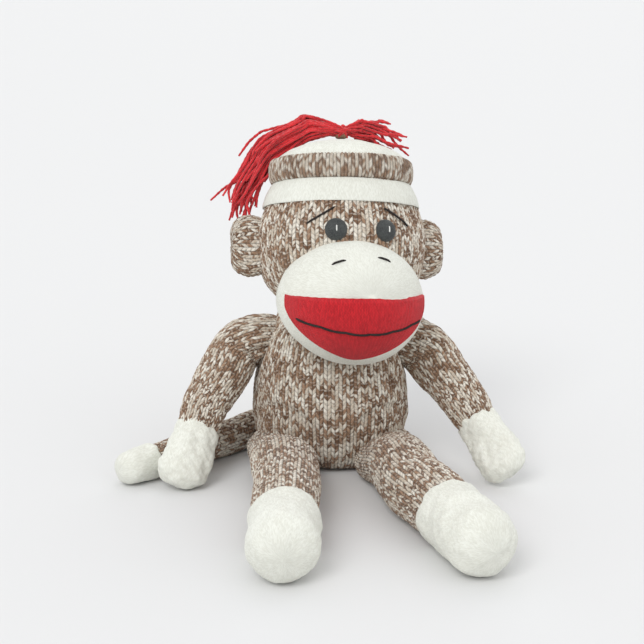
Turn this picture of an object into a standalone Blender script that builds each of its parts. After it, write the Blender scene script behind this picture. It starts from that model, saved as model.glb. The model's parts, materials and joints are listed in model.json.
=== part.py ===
"""A seated stuffed monkey sewn from marled sock knit, as separate covers, stuffing, threads and eyes.

Run with: blender --background --python part.py

Frame: the origin is the middle of the seat face that the toy sits on, +Z is up and the monkey looks
along -Y. Left and right are the monkey's own, so its left side is at +X. Lengths below are millimetres.
"""

import math

import bmesh
import bpy
from mathutils import Matrix, Vector

MM = 0.001

# Driving dimensions
COVER = 1.8  # thickness of the knitted covers
GAP = 0.35  # clearance between pieces that touch
PLAY = 0.5  # clearance between a ball end and what it turns in
TAPER = 0.7  # how much narrower than its ball a shin or forearm is at its far end
NARROWING = 1.6  # how much a sleeve narrows at the end that meets the next length's ball
TURNS_BIG = 24  # sides of the torso and head
TURNS_LIMB = 12  # sides of arms, legs and tail
ARC_POINTS = 3  # points in a quarter circle of a turned profile
SLANT = 1.15  # a level inset of this many wall thicknesses clears a sloping wall
ROOM = 1.4  # how much wider than a limb the room cut for it is

# Torso: outer half-width at each height, and its depth as a share of its width
TORSO_DEPTH = 0.78
SEAT_RADIUS = 33.0
TORSO_TOP = 110.0
TORSO_OUTER = [
    (SEAT_RADIUS, 0.0),
    (45.0, 2.5),
    (52.5, 8.0),
    (57.5, 18.0),
    (59.5, 30.0),
    (59.5, 46.0),
    (58.0, 62.0),
    (56.5, 78.0),
    (54.5, 90.0),
    (50.5, 101.0),
    (44.0, TORSO_TOP),
]
PELLET_TOP = 21.0  # the bag of pellets fills the seat up to here

# Neck: the head turns and nods about this point
NECK = Vector((8.0, 2.0, 115.0))
NECK_ROLL = 22.0
DISH_DEPTH = 20.0  # the dishes for the neck roll go on this far past its middle
HEAD_PITCH = -16.0  # degrees, chin up
HEAD_LEAN = 4.0  # towards the monkey's left
HEAD_YAW = 14.0  # face turned towards the monkey's left

# Head, in its own frame with the neck as origin
HEAD_DEPTH = 0.88
HEAD_BOTTOM = 12.0
HEAD_OUTER = [
    (49.0, HEAD_BOTTOM),
    (57.0, 22.0),
    (62.0, 35.0),
    (63.8, 50.0),
    (62.8, 64.0),
    (58.4, 79.0),
    (53.8, 90.0),
    (50.2, 98.0),
    (45.0, 106.0),
    (36.0, 113.0),
    (22.0, 118.0),
    (0.0, 120.0),
]
MUZZLE_CENTRE = Vector((-3.5, -36.0, 5.5))
MUZZLE_SEMI = Vector((54.5, 58.0, 47.0))
MUZZLE_BACK = -50.0  # below the chin the muzzle stops here, clear of the chest
MOUTH_BACK = -54.0
MOUTH_TOP = 10.0
MOUTH_BOTTOM = -34.0
MOUTH_THICK = 1.2
SMILE_X = -3.0  # middle of the smile line
SMILE_HALF = 41.0
SMILE_LOW = -16.0
SMILE_RISE = 11.0
SMILE_POINTS = 13
NOSTRIL_MIDDLE = -5.0
NOSTRIL_X = (12.5, 22.0)  # inner and outer end, each side of the middle
NOSTRIL_Z = (36.0, 33.0)
BROW_X = (18.0, 37.0)
BROW_Z = (76.6, 64.6)
STITCH_POINTS = 5
CLEAR_OF_NECK = 1.5  # how far above the head's open end the muzzle stops
EAR_CENTRE = Vector((69.5, 6.0, 50.0))
EAR_SEMI = Vector((16.5, 7.5, 24.0))
EYE_X = 18.5
EYE_Z = 60.5
EYE_RADIUS = 8.2
EYE_DOME = 4.6
EYE_RIM = 0.6
SHANK_RADIUS = 1.6
SHANK_PLAY = 0.2
SHANK_LENGTH = 9.0
WASHER_RADIUS = 6.0
WASHER_THICK = 1.2
WASHER_PLAY = 0.5
THREAD = 0.8  # radius of the face thread and of the thread that gathers the neck

# Hat, in the head's frame
BAND_OUTER = [(60.6, 79.4), (57.2, 88.4), (53.0, 97.4)]
BAND_THICK = 1.65
CUFF_PROFILE = [
    (51.3, 114.6),
    (53.2, 115.2),
    (55.4, 113.6),
    (56.3, 110.0),
    (56.3, 103.0),
    (55.4, 99.4),
    (53.2, 98.0),
    (51.3, 98.6),
]
CROWN_OUTER = [(0.0, 132.0), (20.0, 130.0), (36.0, 125.5), (46.0, 119.5), (50.5, 112.5), (50.8, 102.5)]
CROWN_THICK = 1.6
TIE_RADIUS = 4.0
TIE_HEIGHT = 2.0
POMPOM_PATH = [  # (x, y, z, radius) in the head's frame, from the long side over the crown to the short side
    (-86.0, 30.0, 66.0, 9.0),
    (-84.0, 31.0, 82.0, 15.0),
    (-76.0, 28.0, 104.0, 15.0),
    (-56.0, 18.0, 129.0, 12.0),
    (-28.0, 9.0, 143.0, 11.5),
    (0.0, 2.0, 147.0, 11.5),
    (26.0, -2.0, 144.0, 10.0),
    (50.0, -3.0, 133.0, 8.0),
    (63.0, -2.0, 122.0, 5.0),
]

# Legs
HIP_X = 38.0
HIP = Vector((HIP_X, -24.0, 26.2))
LEG_RADIUS = 23.4
KNEE_RADIUS = 22.0
THIGH_LENGTH = 90.0
ANKLE = 62.0  # from the knee to the edge of the white foot
FOOT_END = 130.0  # from the knee to the toe
TOE = 22.0  # length of the rounded toe
THIGH_SPLAY = {"left": 11.0, "right": -4.5}  # degrees outward from straight ahead
SHIN_SPLAY = {"left": 20.0, "right": 0.0}
THIGH_DROP = 2.2  # degrees, because the thigh rests on the floor at the knee
HIP_RANGE = (-10.0, 90.0)
HIP_ROOM_STEPS = 4
HIP_ROOM_REACH = 120.0

# Arms
SHOULDER = Vector((68.0, 0.0, 92.0))
ARM_RADIUS = 18.5
ELBOW_RADIUS = 17.4
UPPER_ARM = 52.0
WRIST = 25.0  # from the elbow to the edge of the white hand
HAND_END = 76.0  # from the elbow to the fingertips
FINGERTIPS = 13.0  # length of the rounded end of the hand
HAND_RADII = (13.5, 16.2, 17.5)  # at the wrist, the palm and the base of the fingertips
HAND_WIDTH = 1.22  # the hand is a flat mitten: wider than the arm and thinner
HAND_DEPTH = 0.62
UPPER_ARM_WAY = {"left": Vector((30, -20, -36)), "right": Vector((-25, -24, -38))}
FOREARM_WAY = {"left": Vector((34, -52, -46)), "right": Vector((-20, -58, -52))}

# Tail
TAIL_ROOT = Vector((-44.0, 52.0, 13.2))
TAIL_RADIUS = 12.6
TAIL_BASE_END = Vector((-88.0, -2.0, 12.6))
TAIL_END_WAY = Vector((-65.0, -63.0, 0.0))
TAIL_TIP_START = 64.0
TAIL_TIP_END = 95.0
TAIL_TIP_ROUND = 12.0

BALL_SIDES = {"u_segments": 14, "v_segments": 8}

COLOURS = {  # base colour and roughness
    "marl_knit": ((0.36, 0.27, 0.21, 1), 0.95),
    "white_knit": ((0.80, 0.79, 0.73, 1), 0.9),
    "red_knit": ((0.62, 0.03, 0.035, 1), 0.9),
    "black_thread": ((0.02, 0.018, 0.018, 1), 0.7),
    "black_eye": ((0.025, 0.025, 0.028, 1), 0.35),
    "white_fibre": ((0.85, 0.85, 0.83, 1), 1.0),
    "seam_thread": ((0.33, 0.24, 0.18, 1), 0.8),
    "pellet_cloth": ((0.70, 0.66, 0.58, 1), 0.9),
    "clear_plastic": ((0.75, 0.76, 0.78, 1), 0.4),
}


def clear_scene():
    for obj in list(bpy.data.objects):
        bpy.data.objects.remove(obj, do_unlink=True)


def collection(name, hidden=False):
    made = bpy.data.collections.new(name)
    bpy.context.scene.collection.children.link(made)
    made.hide_render = hidden
    return made


def material(name):
    found = bpy.data.materials.get(name)
    if found:
        return found
    colour, roughness = COLOURS[name]
    made = bpy.data.materials.new(name)
    made.use_nodes = True
    shader = made.node_tree.nodes["Principled BSDF"]
    shader.inputs["Base Color"].default_value = colour
    shader.inputs["Roughness"].default_value = roughness
    shader.inputs["Metallic"].default_value = 0.0
    made.diffuse_color = colour
    return made


def place(obj, where=None, slot=None, parent=None, matrix=None):
    """Links an object to a collection, gives it its material, its parent and its place."""
    (where or MONKEY).objects.link(obj)
    if slot:
        obj.data.materials.append(material(slot))
    if parent:
        obj.parent = parent
    if matrix:
        obj.matrix_local = matrix
    if where is CUTTERS:
        obj.hide_render = True
        obj.display_type = "WIRE"
    return obj


def frame_matrix(origin, way=(0, 0, 1), front=(0, -1, 0)):
    """A frame at origin (mm) whose Z runs along way and whose Y faces front as nearly as it can."""
    z = Vector(way).normalized()
    x = Vector(front).cross(z).normalized()
    y = z.cross(x)
    turn = Matrix((x, y, z)).transposed().to_4x4()
    return Matrix.Translation(Vector(origin) * MM) @ turn


def turned(name, profile, slot=None, where=None, parent=None, matrix=None, sides=TURNS_LIMB, squeeze=(1, 1)):
    """A profile of (radius, height) turned about Z. It runs up the inner side, if any, and down the outer."""
    mesh = bpy.data.meshes.new(name)
    points = [(r * MM, 0, z * MM) for r, z in profile]
    closed = profile[0] == profile[-1]
    if closed:
        points.pop()
    edges = [(i, i + 1) for i in range(len(points) - 1)]
    if closed:
        edges.append((len(points) - 1, 0))
    mesh.from_pydata(points, edges, [])
    obj = place(bpy.data.objects.new(name, mesh), where, slot, parent, matrix)
    obj.scale = (squeeze[0], squeeze[1], 1)
    screw = obj.modifiers.new("turn", "SCREW")
    screw.steps = sides
    screw.render_steps = sides
    screw.use_merge_vertices = True
    screw.merge_threshold = 0.00001
    screw.use_smooth_shade = True
    return obj


def ball_arc(radius):
    """Quarter circle from the pole below the origin out to the equator, as (radius, height)."""
    angles = [math.pi / 2 * i / ARC_POINTS for i in range(ARC_POINTS)]
    return [(radius * math.sin(a), -radius * math.cos(a)) for a in angles]


def tip_arc(radius, centre, height):
    """Quarter ellipse from a tube's side to the pole at its far end."""
    angles = [math.pi / 2 * i / ARC_POINTS for i in range(1, ARC_POINTS + 1)]
    arc = [(radius * math.cos(a), centre + height * math.sin(a)) for a in angles]
    arc[-1] = (0.0, centre + height)
    return arc


def inset(points, depth):
    return [(max(r - depth, 0.0), z) for r, z in points]


def offset(profile, depth):
    """A profile that rises to the axis, moved inward by depth along its normals. Its foot moves level."""
    moved = [(profile[0][0] - depth, profile[0][1])]
    for before, at, after in zip(profile, profile[1:], profile[2:]):
        rise = Vector((after[0] - before[0], after[1] - before[1])).normalized()
        moved.append((at[0] - depth * rise.y, at[1] + depth * rise.x))
    moved.append((0.0, profile[-1][1] - depth))
    return moved


def sleeve(name, ball, stations, **options):
    """Cover of one limb length: closed round its ball end, open at its far end."""
    inner = ball_arc(ball - COVER) + inset(stations, COVER)
    outer = ball_arc(ball) + stations
    return turned(name, inner + outer[::-1], **options)


def stuffing(name, ball, stations, **options):
    """The filling inside a sleeve, flush with its open end."""
    depth = COVER + GAP
    side = ball_arc(ball - depth) + inset(stations, depth)
    return turned(name, [(0.0, stations[-1][1])] + side[::-1], **options)


def cap_cover(name, stations, tip, **options):
    """Cover of a hand, foot or tail tip: open at its near end, closed at its far end."""
    end_z, end_r = stations[-1][1], stations[-1][0]
    outer = stations + tip_arc(end_r, end_z, tip)
    inner = inset(stations, COVER) + tip_arc(end_r - COVER, end_z, tip - COVER)
    return turned(name, outer[::-1] + inner, **options)


def cap_stuffing(name, stations, tip, **options):
    depth = COVER + GAP
    end_z, end_r = stations[-1][1], stations[-1][0]
    side = inset(stations, depth) + tip_arc(end_r - depth, end_z, tip - depth)
    return turned(name, side[::-1] + [(0.0, stations[0][1])], **options)


def ellipsoid(name, centre, semi, slot=None, where=None, parent=None, u_segments=20, v_segments=12):
    mesh = bpy.data.meshes.new(name)
    bm = bmesh.new()
    bmesh.ops.create_uvsphere(bm, u_segments=u_segments, v_segments=v_segments, radius=MM)
    bmesh.ops.scale(bm, vec=semi, verts=bm.verts)
    bm.to_mesh(mesh)
    bm.free()
    mesh.shade_smooth()
    matrix = Matrix.Translation(Vector(centre) * MM)
    return place(bpy.data.objects.new(name, mesh), where, slot, parent, matrix)


def block(name, low, high, where=None, parent=None):
    mesh = bpy.data.meshes.new(name)
    bm = bmesh.new()
    bmesh.ops.create_cube(bm, size=1)
    size = Vector(high) - Vector(low)
    bmesh.ops.scale(bm, vec=size * MM, verts=bm.verts)
    bm.to_mesh(mesh)
    bm.free()
    middle = (Vector(low) + Vector(high)) / 2
    return place(bpy.data.objects.new(name, mesh), where, None, parent, Matrix.Translation(middle * MM))


def swept_ball(name, centres, radius, parent=None):
    """Cutter: the convex room that a ball of this radius sweeps between the centres."""
    ball = bmesh.new()
    bmesh.ops.create_uvsphere(ball, **BALL_SIDES, radius=radius)
    bm = bmesh.new()
    for centre in centres:
        for vert in ball.verts:
            bm.verts.new((vert.co + Vector(centre)) * MM)
    ball.free()
    hull = bmesh.ops.convex_hull(bm, input=bm.verts)
    spare = hull["geom_interior"] + hull["geom_unused"]
    inner = {part for part in spare if isinstance(part, bmesh.types.BMVert)}
    bmesh.ops.delete(bm, geom=list(inner), context="VERTS")
    bmesh.ops.recalc_face_normals(bm, faces=bm.faces)
    mesh = bpy.data.meshes.new(name)
    bm.to_mesh(mesh)
    bm.free()
    return place(bpy.data.objects.new(name, mesh), CUTTERS, None, parent)


def cut(obj, *cutters, operation="DIFFERENCE"):
    for cutter in cutters:
        boolean = obj.modifiers.new(f"{operation.lower()}_{cutter.name}", "BOOLEAN")
        boolean.operation = operation
        boolean.object = cutter
    return obj


def thread(name, points, radius, slot, parent=None, closed=False):
    """A round thread along points (mm), as a curve with filled caps."""
    curve = bpy.data.curves.new(name, "CURVE")
    curve.dimensions = "3D"
    curve.bevel_depth = radius * MM
    curve.bevel_resolution = 1
    curve.use_fill_caps = not closed
    spline = curve.splines.new("POLY")
    spline.points.add(len(points) - 1)
    for point, at in zip(spline.points, points):
        point.co = (*(Vector(at[:3]) * MM), 1)
        point.radius = at[3] if len(at) > 3 else 1
    spline.use_cyclic_u = closed
    return place(bpy.data.objects.new(name, curve), None, slot, parent)


def on_ellipsoid(centre, semi, x, z, proud):
    """Point at (x, z) on the front of an ellipsoid, raised along its normal by proud."""
    u = (x - centre.x) / semi.x
    w = (z - centre.z) / semi.z
    y = centre.y - semi.y * math.sqrt(max(1 - u * u - w * w, 0.0))
    point = Vector((x, y, z))
    offset = point - centre
    normal = Vector((offset.x / semi.x**2, offset.y / semi.y**2, offset.z / semi.z**2)).normalized()
    return point + normal * proud


def spread(first, last, count):
    return [first + (last - first) * i / (count - 1) for i in range(count)]


def head_radius(z):
    for (r0, z0), (r1, z1) in zip(HEAD_OUTER, HEAD_OUTER[1:]):
        if z0 <= z <= z1:
            return r0 + (r1 - r0) * (z - z0) / (z1 - z0)
    return 0.0


def on_head(x, z, proud):
    """Point on the front of the head at (x, z), and the outward normal there, in the head's frame."""
    step = 1.0
    r = head_radius(z)
    slope = (head_radius(z + step) - head_radius(z - step)) / (2 * step)
    y = -HEAD_DEPTH * math.sqrt(r * r - x * x)
    normal = Vector((x, y / HEAD_DEPTH**2, -slope * r)).normalized()
    return Vector((x, y, z)) + normal * proud, normal


def make_torso():
    """Knitted cover open at the neck, its stuffing, the pellet bag in the seat and the gather thread."""
    squeeze = (1, TORSO_DEPTH)
    floor = [(0.0, 0.0)]
    inner = [(0.0, COVER)] + [(r, max(z, COVER)) for r, z in inset(TORSO_OUTER, COVER)]
    cover = turned(
        "torso_cover", inner + TORSO_OUTER[::-1] + floor, "marl_knit", sides=TURNS_BIG, squeeze=squeeze
    )
    depth = COVER + GAP
    core = inset(TORSO_OUTER, depth * SLANT)
    above = [(r, z) for r, z in core if z > PELLET_TOP]
    below = [(r - PLAY, max(z, depth)) for r, z in core if z < PELLET_TOP]
    split = below[-1][0] + PLAY
    filling = turned(
        "torso_filling",
        [(0.0, TORSO_TOP), *above[::-1], (split, PELLET_TOP + GAP), (0.0, PELLET_TOP + GAP)],
        "white_fibre",
        sides=TURNS_BIG,
        squeeze=squeeze,
    )
    pellets = turned(
        "seat_pellet_bag",
        [(0.0, PELLET_TOP), (split, PELLET_TOP), *below[::-1], (0.0, depth)],
        "pellet_cloth",
        sides=TURNS_BIG,
        squeeze=squeeze,
    )
    hips = [hip_cutter("left"), hip_cutter("right")]
    arms = [shoulder_cutter("left"), shoulder_cutter("right")]
    above_neck = NECK + Vector((0, 0, DISH_DEPTH))
    dish = swept_ball("neck_dish", [NECK, above_neck], NECK_ROLL + 2 * PLAY)
    cut(cover, *hips, *arms)
    cut(filling, *hips, *arms, dish)
    cut(pellets, *hips)
    ring_x = TORSO_OUTER[-1][0] - COVER / 2
    ring_y = ring_x * TORSO_DEPTH
    turns = [2 * math.pi * i / TURNS_BIG for i in range(TURNS_BIG)]
    height = TORSO_TOP + THREAD + GAP
    ring = [(ring_x * math.cos(a), ring_y * math.sin(a), height) for a in turns]
    thread("neck_gather_thread", ring, THREAD, "seam_thread", closed=True)


def side_sign(side):
    return 1 if side == "left" else -1


def mirrored(vector, side):
    return Vector((vector.x * side_sign(side), vector.y, vector.z))


def leg_way(side, splay, drop=0.0, swing=0.0):
    """Direction of a leg length. swing turns it about X from straight ahead towards straight down."""
    a = math.radians(splay) * side_sign(side)
    d = math.radians(drop + swing)
    return Vector((math.sin(a), -math.cos(a) * math.cos(d), -math.cos(a) * math.sin(d)))


def hip_cutter(side):
    hip = mirrored(HIP, side)
    low, high = HIP_RANGE
    swings = [low + (high - low) * i / HIP_ROOM_STEPS for i in range(HIP_ROOM_STEPS + 1)]
    ways = [leg_way(side, THIGH_SPLAY[side], THIGH_DROP, swing) for swing in swings]
    ends = [hip + way * HIP_ROOM_REACH for way in ways]
    return swept_ball(f"{side}_hip_room", [hip, *ends], LEG_RADIUS + ROOM)


def shoulder_cutter(side):
    shoulder = mirrored(SHOULDER, side)
    end = shoulder + UPPER_ARM_WAY[side].normalized() * UPPER_ARM
    return swept_ball(f"{side}_armhole", [shoulder, end], ARM_RADIUS + ROOM)


def make_leg(side):
    """Thigh, shin and foot, each a cover round its stuffing."""
    hip = mirrored(HIP, side)
    thigh = leg_way(side, THIGH_SPLAY[side], THIGH_DROP)
    knee = hip + thigh * THIGH_LENGTH
    shin = leg_way(side, SHIN_SPLAY[side])
    thigh_frame = frame_matrix(hip, thigh, (0, 0, 1))
    shin_frame = frame_matrix(knee, shin, (0, 0, 1))
    thigh_end = THIGH_LENGTH - KNEE_RADIUS - PLAY
    stations = [(LEG_RADIUS, 0.0), (LEG_RADIUS, thigh_end - NARROWING), (KNEE_RADIUS - NARROWING, thigh_end)]
    sleeve(f"{side}_thigh_cover", LEG_RADIUS, stations, slot="marl_knit", matrix=thigh_frame)
    stuffing(f"{side}_thigh_filling", LEG_RADIUS, stations, slot="white_fibre", matrix=thigh_frame)
    ankle_radius = KNEE_RADIUS - TAPER
    stations = [(KNEE_RADIUS, 0.0), (KNEE_RADIUS, ANKLE / 3), (ankle_radius, ANKLE)]
    sleeve(f"{side}_shin_cover", KNEE_RADIUS, stations, slot="marl_knit", matrix=shin_frame)
    foot = [(ankle_radius, ANKLE + GAP), (KNEE_RADIUS, ANKLE + TOE), (KNEE_RADIUS, FOOT_END - TOE)]
    cap_cover(f"{side}_foot_cover", foot, TOE, slot="white_knit", matrix=shin_frame)
    depth = COVER + GAP
    core = ball_arc(KNEE_RADIUS - depth) + inset(stations + foot, depth)
    core += tip_arc(KNEE_RADIUS - depth, FOOT_END - TOE, TOE - depth)
    turned(f"{side}_shin_filling", core[::-1], "white_fibre", matrix=shin_frame)


def make_arm(side):
    """Upper arm, forearm and mitten hand, each a cover round its stuffing."""
    shoulder = mirrored(SHOULDER, side)
    upper = UPPER_ARM_WAY[side].normalized()
    elbow = shoulder + upper * UPPER_ARM
    forearm = FOREARM_WAY[side].normalized()
    upper_frame = frame_matrix(shoulder, upper)
    forearm_frame = frame_matrix(elbow, forearm)
    end = UPPER_ARM - ELBOW_RADIUS - PLAY
    stations = [(ARM_RADIUS, 0.0), (ARM_RADIUS, end - NARROWING), (ELBOW_RADIUS - NARROWING, end)]
    sleeve(f"{side}_upper_arm_cover", ARM_RADIUS, stations, slot="marl_knit", matrix=upper_frame)
    stuffing(f"{side}_upper_arm_filling", ARM_RADIUS, stations, slot="white_fibre", matrix=upper_frame)
    stations = [(ELBOW_RADIUS, 0.0), (ELBOW_RADIUS, WRIST / 2), (ELBOW_RADIUS - TAPER, WRIST)]
    sleeve(f"{side}_forearm_cover", ELBOW_RADIUS, stations, slot="marl_knit", matrix=forearm_frame)
    stuffing(f"{side}_forearm_filling", ELBOW_RADIUS, stations, slot="white_fibre", matrix=forearm_frame)
    palm = (WRIST + HAND_END - FINGERTIPS) / 2
    hand = [(HAND_RADII[0], WRIST + GAP), (HAND_RADII[1], palm), (HAND_RADII[2], HAND_END - FINGERTIPS)]
    squeeze = (HAND_WIDTH, HAND_DEPTH)
    options = {"matrix": forearm_frame, "squeeze": squeeze}
    cap_cover(f"{side}_hand_cover", hand, FINGERTIPS, slot="white_knit", **options)
    cap_stuffing(f"{side}_hand_filling", hand, FINGERTIPS, slot="white_fibre", **options)


def make_tail():
    """Two lengths of stuffed tube and the white tip."""
    base_way = TAIL_BASE_END - TAIL_ROOT
    base_frame = frame_matrix(TAIL_ROOT, base_way, (0, 0, 1))
    end_frame = frame_matrix(TAIL_BASE_END, TAIL_END_WAY, (0, 0, 1))
    end = base_way.length - TAIL_RADIUS - PLAY
    stations = [(TAIL_RADIUS, 0.0), (TAIL_RADIUS, end - NARROWING), (TAIL_RADIUS - NARROWING, end)]
    sleeve("tail_base_cover", TAIL_RADIUS, stations, slot="marl_knit", matrix=base_frame)
    stuffing("tail_base_filling", TAIL_RADIUS, stations, slot="white_fibre", matrix=base_frame)
    stations = [(TAIL_RADIUS, 0.0), (TAIL_RADIUS, TAIL_TIP_START)]
    sleeve("tail_end_cover", TAIL_RADIUS, stations, slot="marl_knit", matrix=end_frame)
    side = TAIL_TIP_END - TAIL_TIP_ROUND
    white = [(TAIL_RADIUS, TAIL_TIP_START + GAP), (TAIL_RADIUS, side)]
    cap_cover("tail_tip_cover", white, TAIL_TIP_ROUND, slot="white_knit", matrix=end_frame)
    depth = COVER + GAP
    core = ball_arc(TAIL_RADIUS - depth) + inset(stations + white, depth)
    core += tip_arc(TAIL_RADIUS - depth, side, TAIL_TIP_ROUND - depth)
    turned("tail_end_filling", core[::-1], "white_fibre", matrix=end_frame)


def make_head(head):
    """Head cover with its stuffing, the neck roll that holds it up, and its two ears."""
    options = {"parent": head, "sides": TURNS_BIG, "squeeze": (1, HEAD_DEPTH)}
    foot = [(0.0, HEAD_BOTTOM)]
    cover = turned("head_cover", HEAD_OUTER[::-1] + offset(HEAD_OUTER, COVER), "marl_knit", **options)
    depth = COVER + GAP
    core = offset(HEAD_OUTER, depth * SLANT)
    filling = turned("head_filling", core[::-1] + foot, "white_fibre", **options)
    below_neck = (0, 0, -DISH_DEPTH)
    dish = swept_ball("head_dish", [(0, 0, 0), below_neck], NECK_ROLL + 2 * PLAY, parent=head)
    cut(filling, dish)
    ellipsoid("neck_stuffing_roll", NECK, (NECK_ROLL,) * 3, "white_fibre", **BALL_SIDES)
    grown = offset(HEAD_OUTER, -GAP * SLANT)
    room = turned("head_room", grown[::-1] + foot, where=CUTTERS, **options)
    for side in ("left", "right"):
        centre = mirrored(EAR_CENTRE, side)
        hollow = EAR_SEMI - Vector((1, 1, 1)) * COVER
        core_semi = EAR_SEMI - Vector((1, 1, 1)) * depth
        inside = ellipsoid(f"{side}_ear_hollow", centre, hollow, where=CUTTERS, parent=head, **BALL_SIDES)
        ear = ellipsoid(f"{side}_ear_cover", centre, EAR_SEMI, "marl_knit", parent=head, **BALL_SIDES)
        cut(ear, inside, room)
        pad = ellipsoid(f"{side}_ear_filling", centre, core_semi, "white_fibre", parent=head, **BALL_SIDES)
        cut(pad, room)
    return cover, filling, room


def make_muzzle(head, room):
    """White muzzle sewn to the face, its stuffing, the red mouth patch and the black stitches on them."""
    far = 2 * MUZZLE_SEMI.x
    low, high = (-far, MUZZLE_BACK, -far), (far, far, HEAD_BOTTOM + CLEAR_OF_NECK)
    chest = block("chest_room", low, high, CUTTERS, head)
    depth = COVER + GAP
    ones = Vector((1, 1, 1))
    hollow = ellipsoid("muzzle_hollow", MUZZLE_CENTRE, MUZZLE_SEMI - ones * COVER, where=CUTTERS, parent=head)
    cover = ellipsoid("muzzle_cover", MUZZLE_CENTRE, MUZZLE_SEMI, "white_knit", parent=head)
    cut(cover, hollow, room, chest)
    core = MUZZLE_SEMI - ones * depth
    filling = ellipsoid("muzzle_filling", MUZZLE_CENTRE, core, "white_fibre", parent=head)
    cut(filling, room, chest)
    patch_in = MUZZLE_SEMI + ones * GAP
    patch_out = MUZZLE_SEMI + ones * (GAP + MOUTH_THICK)
    inside = ellipsoid("mouth_hollow", MUZZLE_CENTRE, patch_in, where=CUTTERS, parent=head)
    mouth = ellipsoid("mouth_patch", MUZZLE_CENTRE, patch_out, "red_knit", parent=head)
    low, high = (-far, -far, MOUTH_BOTTOM), (far, MOUTH_BACK, MOUTH_TOP)
    keep = block("mouth_outline", low, high, CUTTERS, head)
    cut(mouth, inside)
    cut(mouth, keep, operation="INTERSECT")
    proud = THREAD + GAP
    smile = []
    for s in spread(-1.0, 1.0, SMILE_POINTS):
        height = SMILE_LOW + SMILE_RISE * s * s
        smile.append(on_ellipsoid(MUZZLE_CENTRE, patch_out, SMILE_X + SMILE_HALF * s, height, proud))
    thread("smile_thread", smile, THREAD, "black_thread", head)
    for side in ("left", "right"):
        nostril = []
        for x, z in zip(spread(*NOSTRIL_X, STITCH_POINTS), spread(*NOSTRIL_Z, STITCH_POINTS)):
            across = NOSTRIL_MIDDLE + side_sign(side) * x
            nostril.append(on_ellipsoid(MUZZLE_CENTRE, MUZZLE_SEMI, across, z, proud))
        thread(f"{side}_nostril_thread", nostril, THREAD, "black_thread", head)


def make_eyes(head, cover, filling):
    """Domed eyes whose shanks go through the cover and are locked by a washer behind it, and the brows."""
    for side in ("left", "right"):
        sign = side_sign(side)
        seat, normal = on_head(sign * EYE_X, EYE_Z, GAP + EYE_RIM)
        frame = frame_matrix(seat, normal, (0, 0, 1))
        angles = [math.pi / 2 * i / 4 for i in range(1, 5)]
        dome = [(0.0, EYE_DOME)]
        dome += [(EYE_RADIUS * math.sin(a), EYE_DOME * math.cos(a)) for a in angles[:-1]]
        dome += [(EYE_RADIUS, EYE_RIM), (EYE_RADIUS - EYE_RIM, 0.0)]
        shank = [(SHANK_RADIUS, 0.0), (SHANK_RADIUS, EYE_RIM - SHANK_LENGTH), (0.0, -SHANK_LENGTH)]
        options = {"parent": head, "matrix": frame, "sides": 16}
        turned(f"{side}_eye", dome + shank, "black_eye", **options)
        top = -COVER - GAP * 4 - EYE_RIM
        hole = SHANK_RADIUS + SHANK_PLAY
        washer = [
            (hole, top - WASHER_THICK),
            (hole, top),
            (WASHER_RADIUS, top),
            (WASHER_RADIUS, top - WASHER_THICK),
            (hole, top - WASHER_THICK),
        ]
        turned(f"{side}_eye_washer", washer, "clear_plastic", **options)
        deep = -SHANK_LENGTH - WASHER_PLAY
        wide = WASHER_RADIUS + WASHER_PLAY
        drill = [(0.0, EYE_DOME), (hole, EYE_DOME), (hole, deep), (0.0, deep)]
        cut(cover, turned(f"{side}_eye_hole", drill, where=CUTTERS, **options))
        pocket = [(0.0, EYE_DOME), (wide, EYE_DOME), (wide, deep), (0.0, deep)]
        cut(filling, turned(f"{side}_eye_pocket", pocket, where=CUTTERS, **options))
        brow = []
        for x, z in zip(spread(*BROW_X, STITCH_POINTS), spread(*BROW_Z, STITCH_POINTS)):
            point, _ = on_head(sign * x, z, THREAD + 2 * GAP)
            brow.append(point)
        thread(f"{side}_eyebrow_thread", brow, THREAD, "black_thread", head)


def make_hat(head):
    """White band round the brow, rolled marl cuff, white crown, and the red yarn pompom tied to its top."""
    squeeze = (1, HEAD_DEPTH)
    options = {"parent": head, "sides": TURNS_BIG, "squeeze": squeeze}
    outer = BAND_OUTER[::-1]
    inner = inset(BAND_OUTER, BAND_THICK)
    turned("hat_band", outer + inner + outer[:1], "white_knit", **options)
    turned("hat_cuff", CUFF_PROFILE + CUFF_PROFILE[:1], "marl_knit", **options)
    turned("hat_crown", CROWN_OUTER + offset(CROWN_OUTER[::-1], CROWN_THICK), "white_knit", **options)
    low = CROWN_OUTER[0][1] + GAP
    tie = [(0.0, low + TIE_HEIGHT), (TIE_RADIUS, low + TIE_HEIGHT), (TIE_RADIUS, low), (0.0, low)]
    turned("pompom_tie", tie, "seam_thread", parent=head)
    yarn = thread("pompom_yarn", POMPOM_PATH, 1.0, "red_knit", head)
    yarn.data.bevel_resolution = 3


def make_monkey():
    head = bpy.data.objects.new("head_frame", None)
    MONKEY.objects.link(head)
    yaw = Matrix.Rotation(math.radians(HEAD_YAW), 4, "Z")
    lean = Matrix.Rotation(math.radians(HEAD_LEAN), 4, "Y")
    pitch = Matrix.Rotation(math.radians(HEAD_PITCH), 4, "X")
    head.matrix_world = Matrix.Translation(NECK * MM) @ yaw @ lean @ pitch
    make_torso()
    cover, filling, room = make_head(head)
    make_muzzle(head, room)
    make_eyes(head, cover, filling)
    make_hat(head)
    for side in ("left", "right"):
        make_leg(side)
        make_arm(side)
    make_tail()


clear_scene()
MONKEY = collection("stuffed_monkey")
CUTTERS = collection("cutters", hidden=True)
make_monkey()
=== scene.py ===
"""Looks of the seated stuffed monkey: knitted skins, stuffed limbs, hat, face stitches and yarn pompom.

Lengths are millimetres until a mesh is made. The head's pieces are worked out in the head's own frame,
whose origin is the neck joint, with X to the monkey's left, Y to its back and Z to its crown.
"""

import json
import math

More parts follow.
